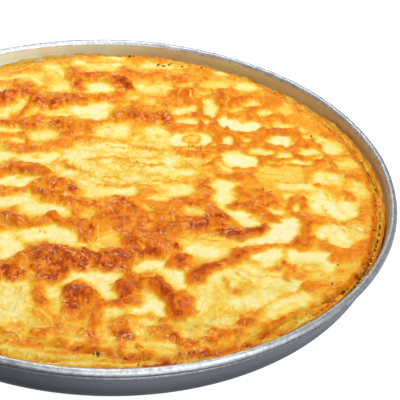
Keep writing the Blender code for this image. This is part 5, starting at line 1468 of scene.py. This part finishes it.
verts = np.stack([x, y, level], 1)
index = np.arange(len(verts)).reshape(GRID_ACROSS + 1, GRID_DEEP + 1)
quads = np.stack([index[:-1, :-1], index[1:, :-1], index[1:, 1:], index[:-1, 1:]], -1).reshape(-1, 4)
rim = np.concatenate([index[:-1, 0], index[-1, :-1], index[:0:-1, -1], index[0, :0:-1]])
rim_angle = np.arctan2(y[rim], x[rim])
below = CREVICE_Z + 0.9
edge = edge_radius(rim_angle)
skirts = (
    (edge - 0.2, np.maximum(level[rim] - 1.2, below + 0.4)),
    (np.minimum(edge - 1.4, skin_inside(rim_angle, below) - 1.2), below + 0 * edge),
    (202.4 + 0 * edge, below + 0 * edge),
    (194.8 + 0 * edge, FILLING_TOP + 0.5 + 0 * edge),
)
faces = [tuple(q) for q in quads.tolist()]
previous = rim
for reach, depth in skirts:
    ring = np.arange(len(rim)) + len(verts)
    below_rim = np.stack([reach * np.cos(rim_angle), reach * np.sin(rim_angle), depth], 1)
    verts = np.concatenate([verts, below_rim])
    for k in range(len(rim)):
        n = (k + 1) % len(rim)
        faces.append((int(previous[k]), int(ring[k]), int(ring[n]), int(previous[n])))
    previous = ring
faces.append(tuple(int(v) for v in previous[::-1]))
crust_mesh = bpy.data.meshes.new("top_crust")
crust_mesh.from_pydata((verts * MM).tolist(), [], faces)
crust_mesh.shade_smooth()
crust_finish = pastry_finish("browned_top_pastry", 0.16, 1.0, 0.42)
crust_mesh.materials.append(crust_finish)
crust = placed("top_crust", crust_mesh)
skirt_count = len(verts) - len(x)
keep_on(crust, "brown", np.concatenate([tone, np.full(skirt_count, 0.42)]))
keep_on(crust, "crumple", np.concatenate([crumple, np.full(skirt_count, 0.5)]))
keep_on(crust, "soaked", np.concatenate([soaked, np.full(skirt_count, 0.8)]))
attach(crust, "root")
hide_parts("top_sheets")


# ---------------------------------------------------------------- crumbs and parsley
# Burnt crumbs of pastry, flecks of parsley and curds of cheese have come to rest in the crevice
# at the wall, and a few lie on the crust.

def strewn(name, places, sizes, flatness, seed, finish):
    """Small crumpled lumps, one on each place, made by Geometry Nodes and kept as a plain mesh."""
    dots = bpy.data.meshes.new(name + "_places")
    dots.from_pydata([tuple(p * MM) for p in np.asarray(places, float)], [], [])
    size_layer = dots.attributes.new("size", "FLOAT", "POINT")
    size_layer.data.foreach_set("value", np.asarray(sizes, np.float32) * MM)
    holder = placed(name + "_places", dots)
    tree = bpy.data.node_groups.new(name, "GeometryNodeTree")
    tree.interface.new_socket("Geometry", in_out="INPUT", socket_type="NodeSocketGeometry")
    flat_socket = tree.interface.new_socket("Flatness", in_out="INPUT", socket_type="NodeSocketFloat")
    seed_socket = tree.interface.new_socket("Seed", in_out="INPUT", socket_type="NodeSocketInt")
    tree.interface.new_socket("Geometry", in_out="OUTPUT", socket_type="NodeSocketGeometry")
    wire = Wire(tree)
    given = wire.node("NodeGroupInput")
    flat, draw = given.also("Flatness"), given.also("Seed")
    lump = wire.node("GeometryNodeMeshIcoSphere", {}, {"Radius": 1.0, "Subdivisions": 2})
    place = wire.node("GeometryNodeInputPosition")
    shove = wire.shift("SUBTRACT", wire.grain(place, 1.3).also("Color"), (0.5, 0.5, 0.5))
    shove = wire.shift("MULTIPLY", shove, (1.5, 1.5, 1.5))
    lump = wire.node("GeometryNodeSetPosition", {}, {"Geometry": lump, "Offset": shove})
    turn_limits = {"Min": (-0.5, -0.5, 0.0), "Max": (0.5, 0.5, 6.28), "Seed": draw}
    turn = wire.node("FunctionNodeRandomValue", {"data_type": "FLOAT_VECTOR"}, turn_limits)
    size = wire.node("GeometryNodeInputNamedAttribute", {"data_type": "FLOAT"}, {"Name": "size"})
    across = wire.node("FunctionNodeRandomValue", {"data_type": "FLOAT"}, {2: 0.6, 3: 1.4, "Seed": draw}, 1)
    scale = wire.node("ShaderNodeCombineXYZ", {}, {0: size * across, 1: size, 2: size * flat})
    copies = {"Points": given, "Instance": lump, "Rotation": turn, "Scale": scale}
    copies = wire.node("GeometryNodeInstanceOnPoints", {}, copies)
    real = wire.node("GeometryNodeRealizeInstances", {}, {"Geometry": copies})
    rounded = wire.node("GeometryNodeSetShadeSmooth", {}, {"Geometry": real})
    done = wire.node("GeometryNodeSetMaterial", {}, {"Geometry": rounded, "Material": finish})
    feed(tree.nodes.new("NodeGroupOutput"), 0, done)
    modifier = holder.modifiers.new("strew", "NODES")
    modifier.node_group = tree
    modifier[flat_socket.identifier] = flatness
    modifier[seed_socket.identifier] = seed
    bpy.context.view_layer.update()
    seen = holder.evaluated_get(bpy.context.evaluated_depsgraph_get())
    mesh = bpy.data.meshes.new_from_object(seen)
    mesh.name = name
    piece = placed(name, mesh)
    bpy.data.objects.remove(holder)
    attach(piece, "root")
    return piece


def plain_crumb(name, dark, light, gloss):
    """A mottled crumb: two colours mixed by noise, and a rough skin."""
    made, wire, shader = new_finish(name)
    place = wire.node("ShaderNodeTexCoord", {}, {}, "Object")
    mottle = wire.grain(place, 900.0, 3.0, 0.6)
    feed(shader, "Base Color", mottle.blend(dark, light))
    feed(shader, "Roughness", gloss + 0.3 * mottle)
    bump = wire.node("ShaderNodeBump", {}, {"Height": mottle, "Strength": 0.5, "Distance": 0.0005})
    feed(shader, "Normal", bump)
    return made


# Lying on the crust: x and y as read on the plan, and half length in mm.
ON_CRUST = (
    (6, 197, 1.2), (9, 197, 1), (30, 185, 1.3), (34.5, 184, 1.4), (39, 186, 1), (41, 189, 1),
    (50, 185, 1.2), (66, 184, 1), (80, 181, 0.9), (114, 171, 1.1), (116, 166, 1), (127, 162, 1.2),
    (156, 93, 1), (187, -87, 1.6), (189.5, -88, 1.2), (177, -105, 1.6), (176.5, -107.5, 1.5),
    (169, -102, 0.9), (174, -77, 0.9), (4.5, -194, 1.4), (1.5, -194.5, 0.8), (-1, -193, 0.7),
    (124, 12, 0.8), (118, 14, 0.7), (202, -27, 1), (201, -31, 0.9), (196, -78, 1), (193, -76, 0.9),
    (33, -204, 0.9), (-5, 91, 0.5), (155, -139, 0.9), (142, -155, 1.2), (150, -134, 0.8),
)


def crust_height(px, py):
    return float(level[np.argmin((x - px) ** 2 + (y - py) ** 2)])


STREWN = 520
EDGE_GREENS = 60
MIDDLE_Z, NEAR_WALL_Z = 33.2, 31.5
rng = np.random.RandomState(5)
# Those near the front and back wall lie lower.
crumb_spots = [from_plan(px, py, MIDDLE_Z if abs(py) < 180 else NEAR_WALL_Z) for px, py, size in ON_CRUST]
crumb_places = [(px, py, crust_height(px, py) + 0.1) for px, py in crumb_spots]
crumb_sizes = [size for px, py, size in ON_CRUST]
green_places, green_sizes, curd_places, curd_sizes = [], [], [], []
for k in range(STREWN):
    turn = rng.uniform(-math.pi, math.pi)
    inner, outer = edge_radius(turn) + 0.3, skin_inside(turn, 28.0) - 0.6
    reach = inner + (outer - inner) * rng.uniform(0, 1)
    lift = CREVICE_Z + rng.uniform(-0.2, 0.7)
    kind, size = rng.uniform(0, 1), rng.uniform(0.5, 1.3)
    spot_place = (reach * math.cos(turn), reach * math.sin(turn), lift)
    if kind < 0.07:
        crumb_places.append(spot_place)
        crumb_sizes.append(size)
    elif kind < 0.28:
        green_places.append(spot_place)
        green_sizes.append(size)
    else:
        curd_places.append(spot_place)
        curd_sizes.append(size * 1.3)
for k in range(EDGE_GREENS):
    turn = rng.uniform(-math.pi, math.pi)
    reach = leaf_edge(np.array([turn]))[0] + rng.uniform(1.0, 3.0)
    if reach < edge_radius(turn) - 1:
        px, py = reach * math.cos(turn), reach * math.sin(turn)
        green_places.append((px, py, crust_height(px, py) + 0.05))
        green_sizes.append(rng.uniform(0.4, 0.9))
char = plain_crumb("burnt_crumb", rgba(52, 24, 8), rgba(122, 66, 22), 0.4)
herb = plain_crumb("baked_parsley", rgba(84, 78, 20), rgba(140, 128, 44), 0.45)
curds = plain_crumb("cheese_curd", rgba(206, 148, 62), rgba(242, 204, 116), 0.35)
strewn("burnt_crumbs", crumb_places, crumb_sizes, 0.5, 3, char)
strewn("parsley_flecks", green_places, green_sizes, 0.35, 4, herb)
strewn("cheese_curds", curd_places, curd_sizes, 0.7, 6, curds)
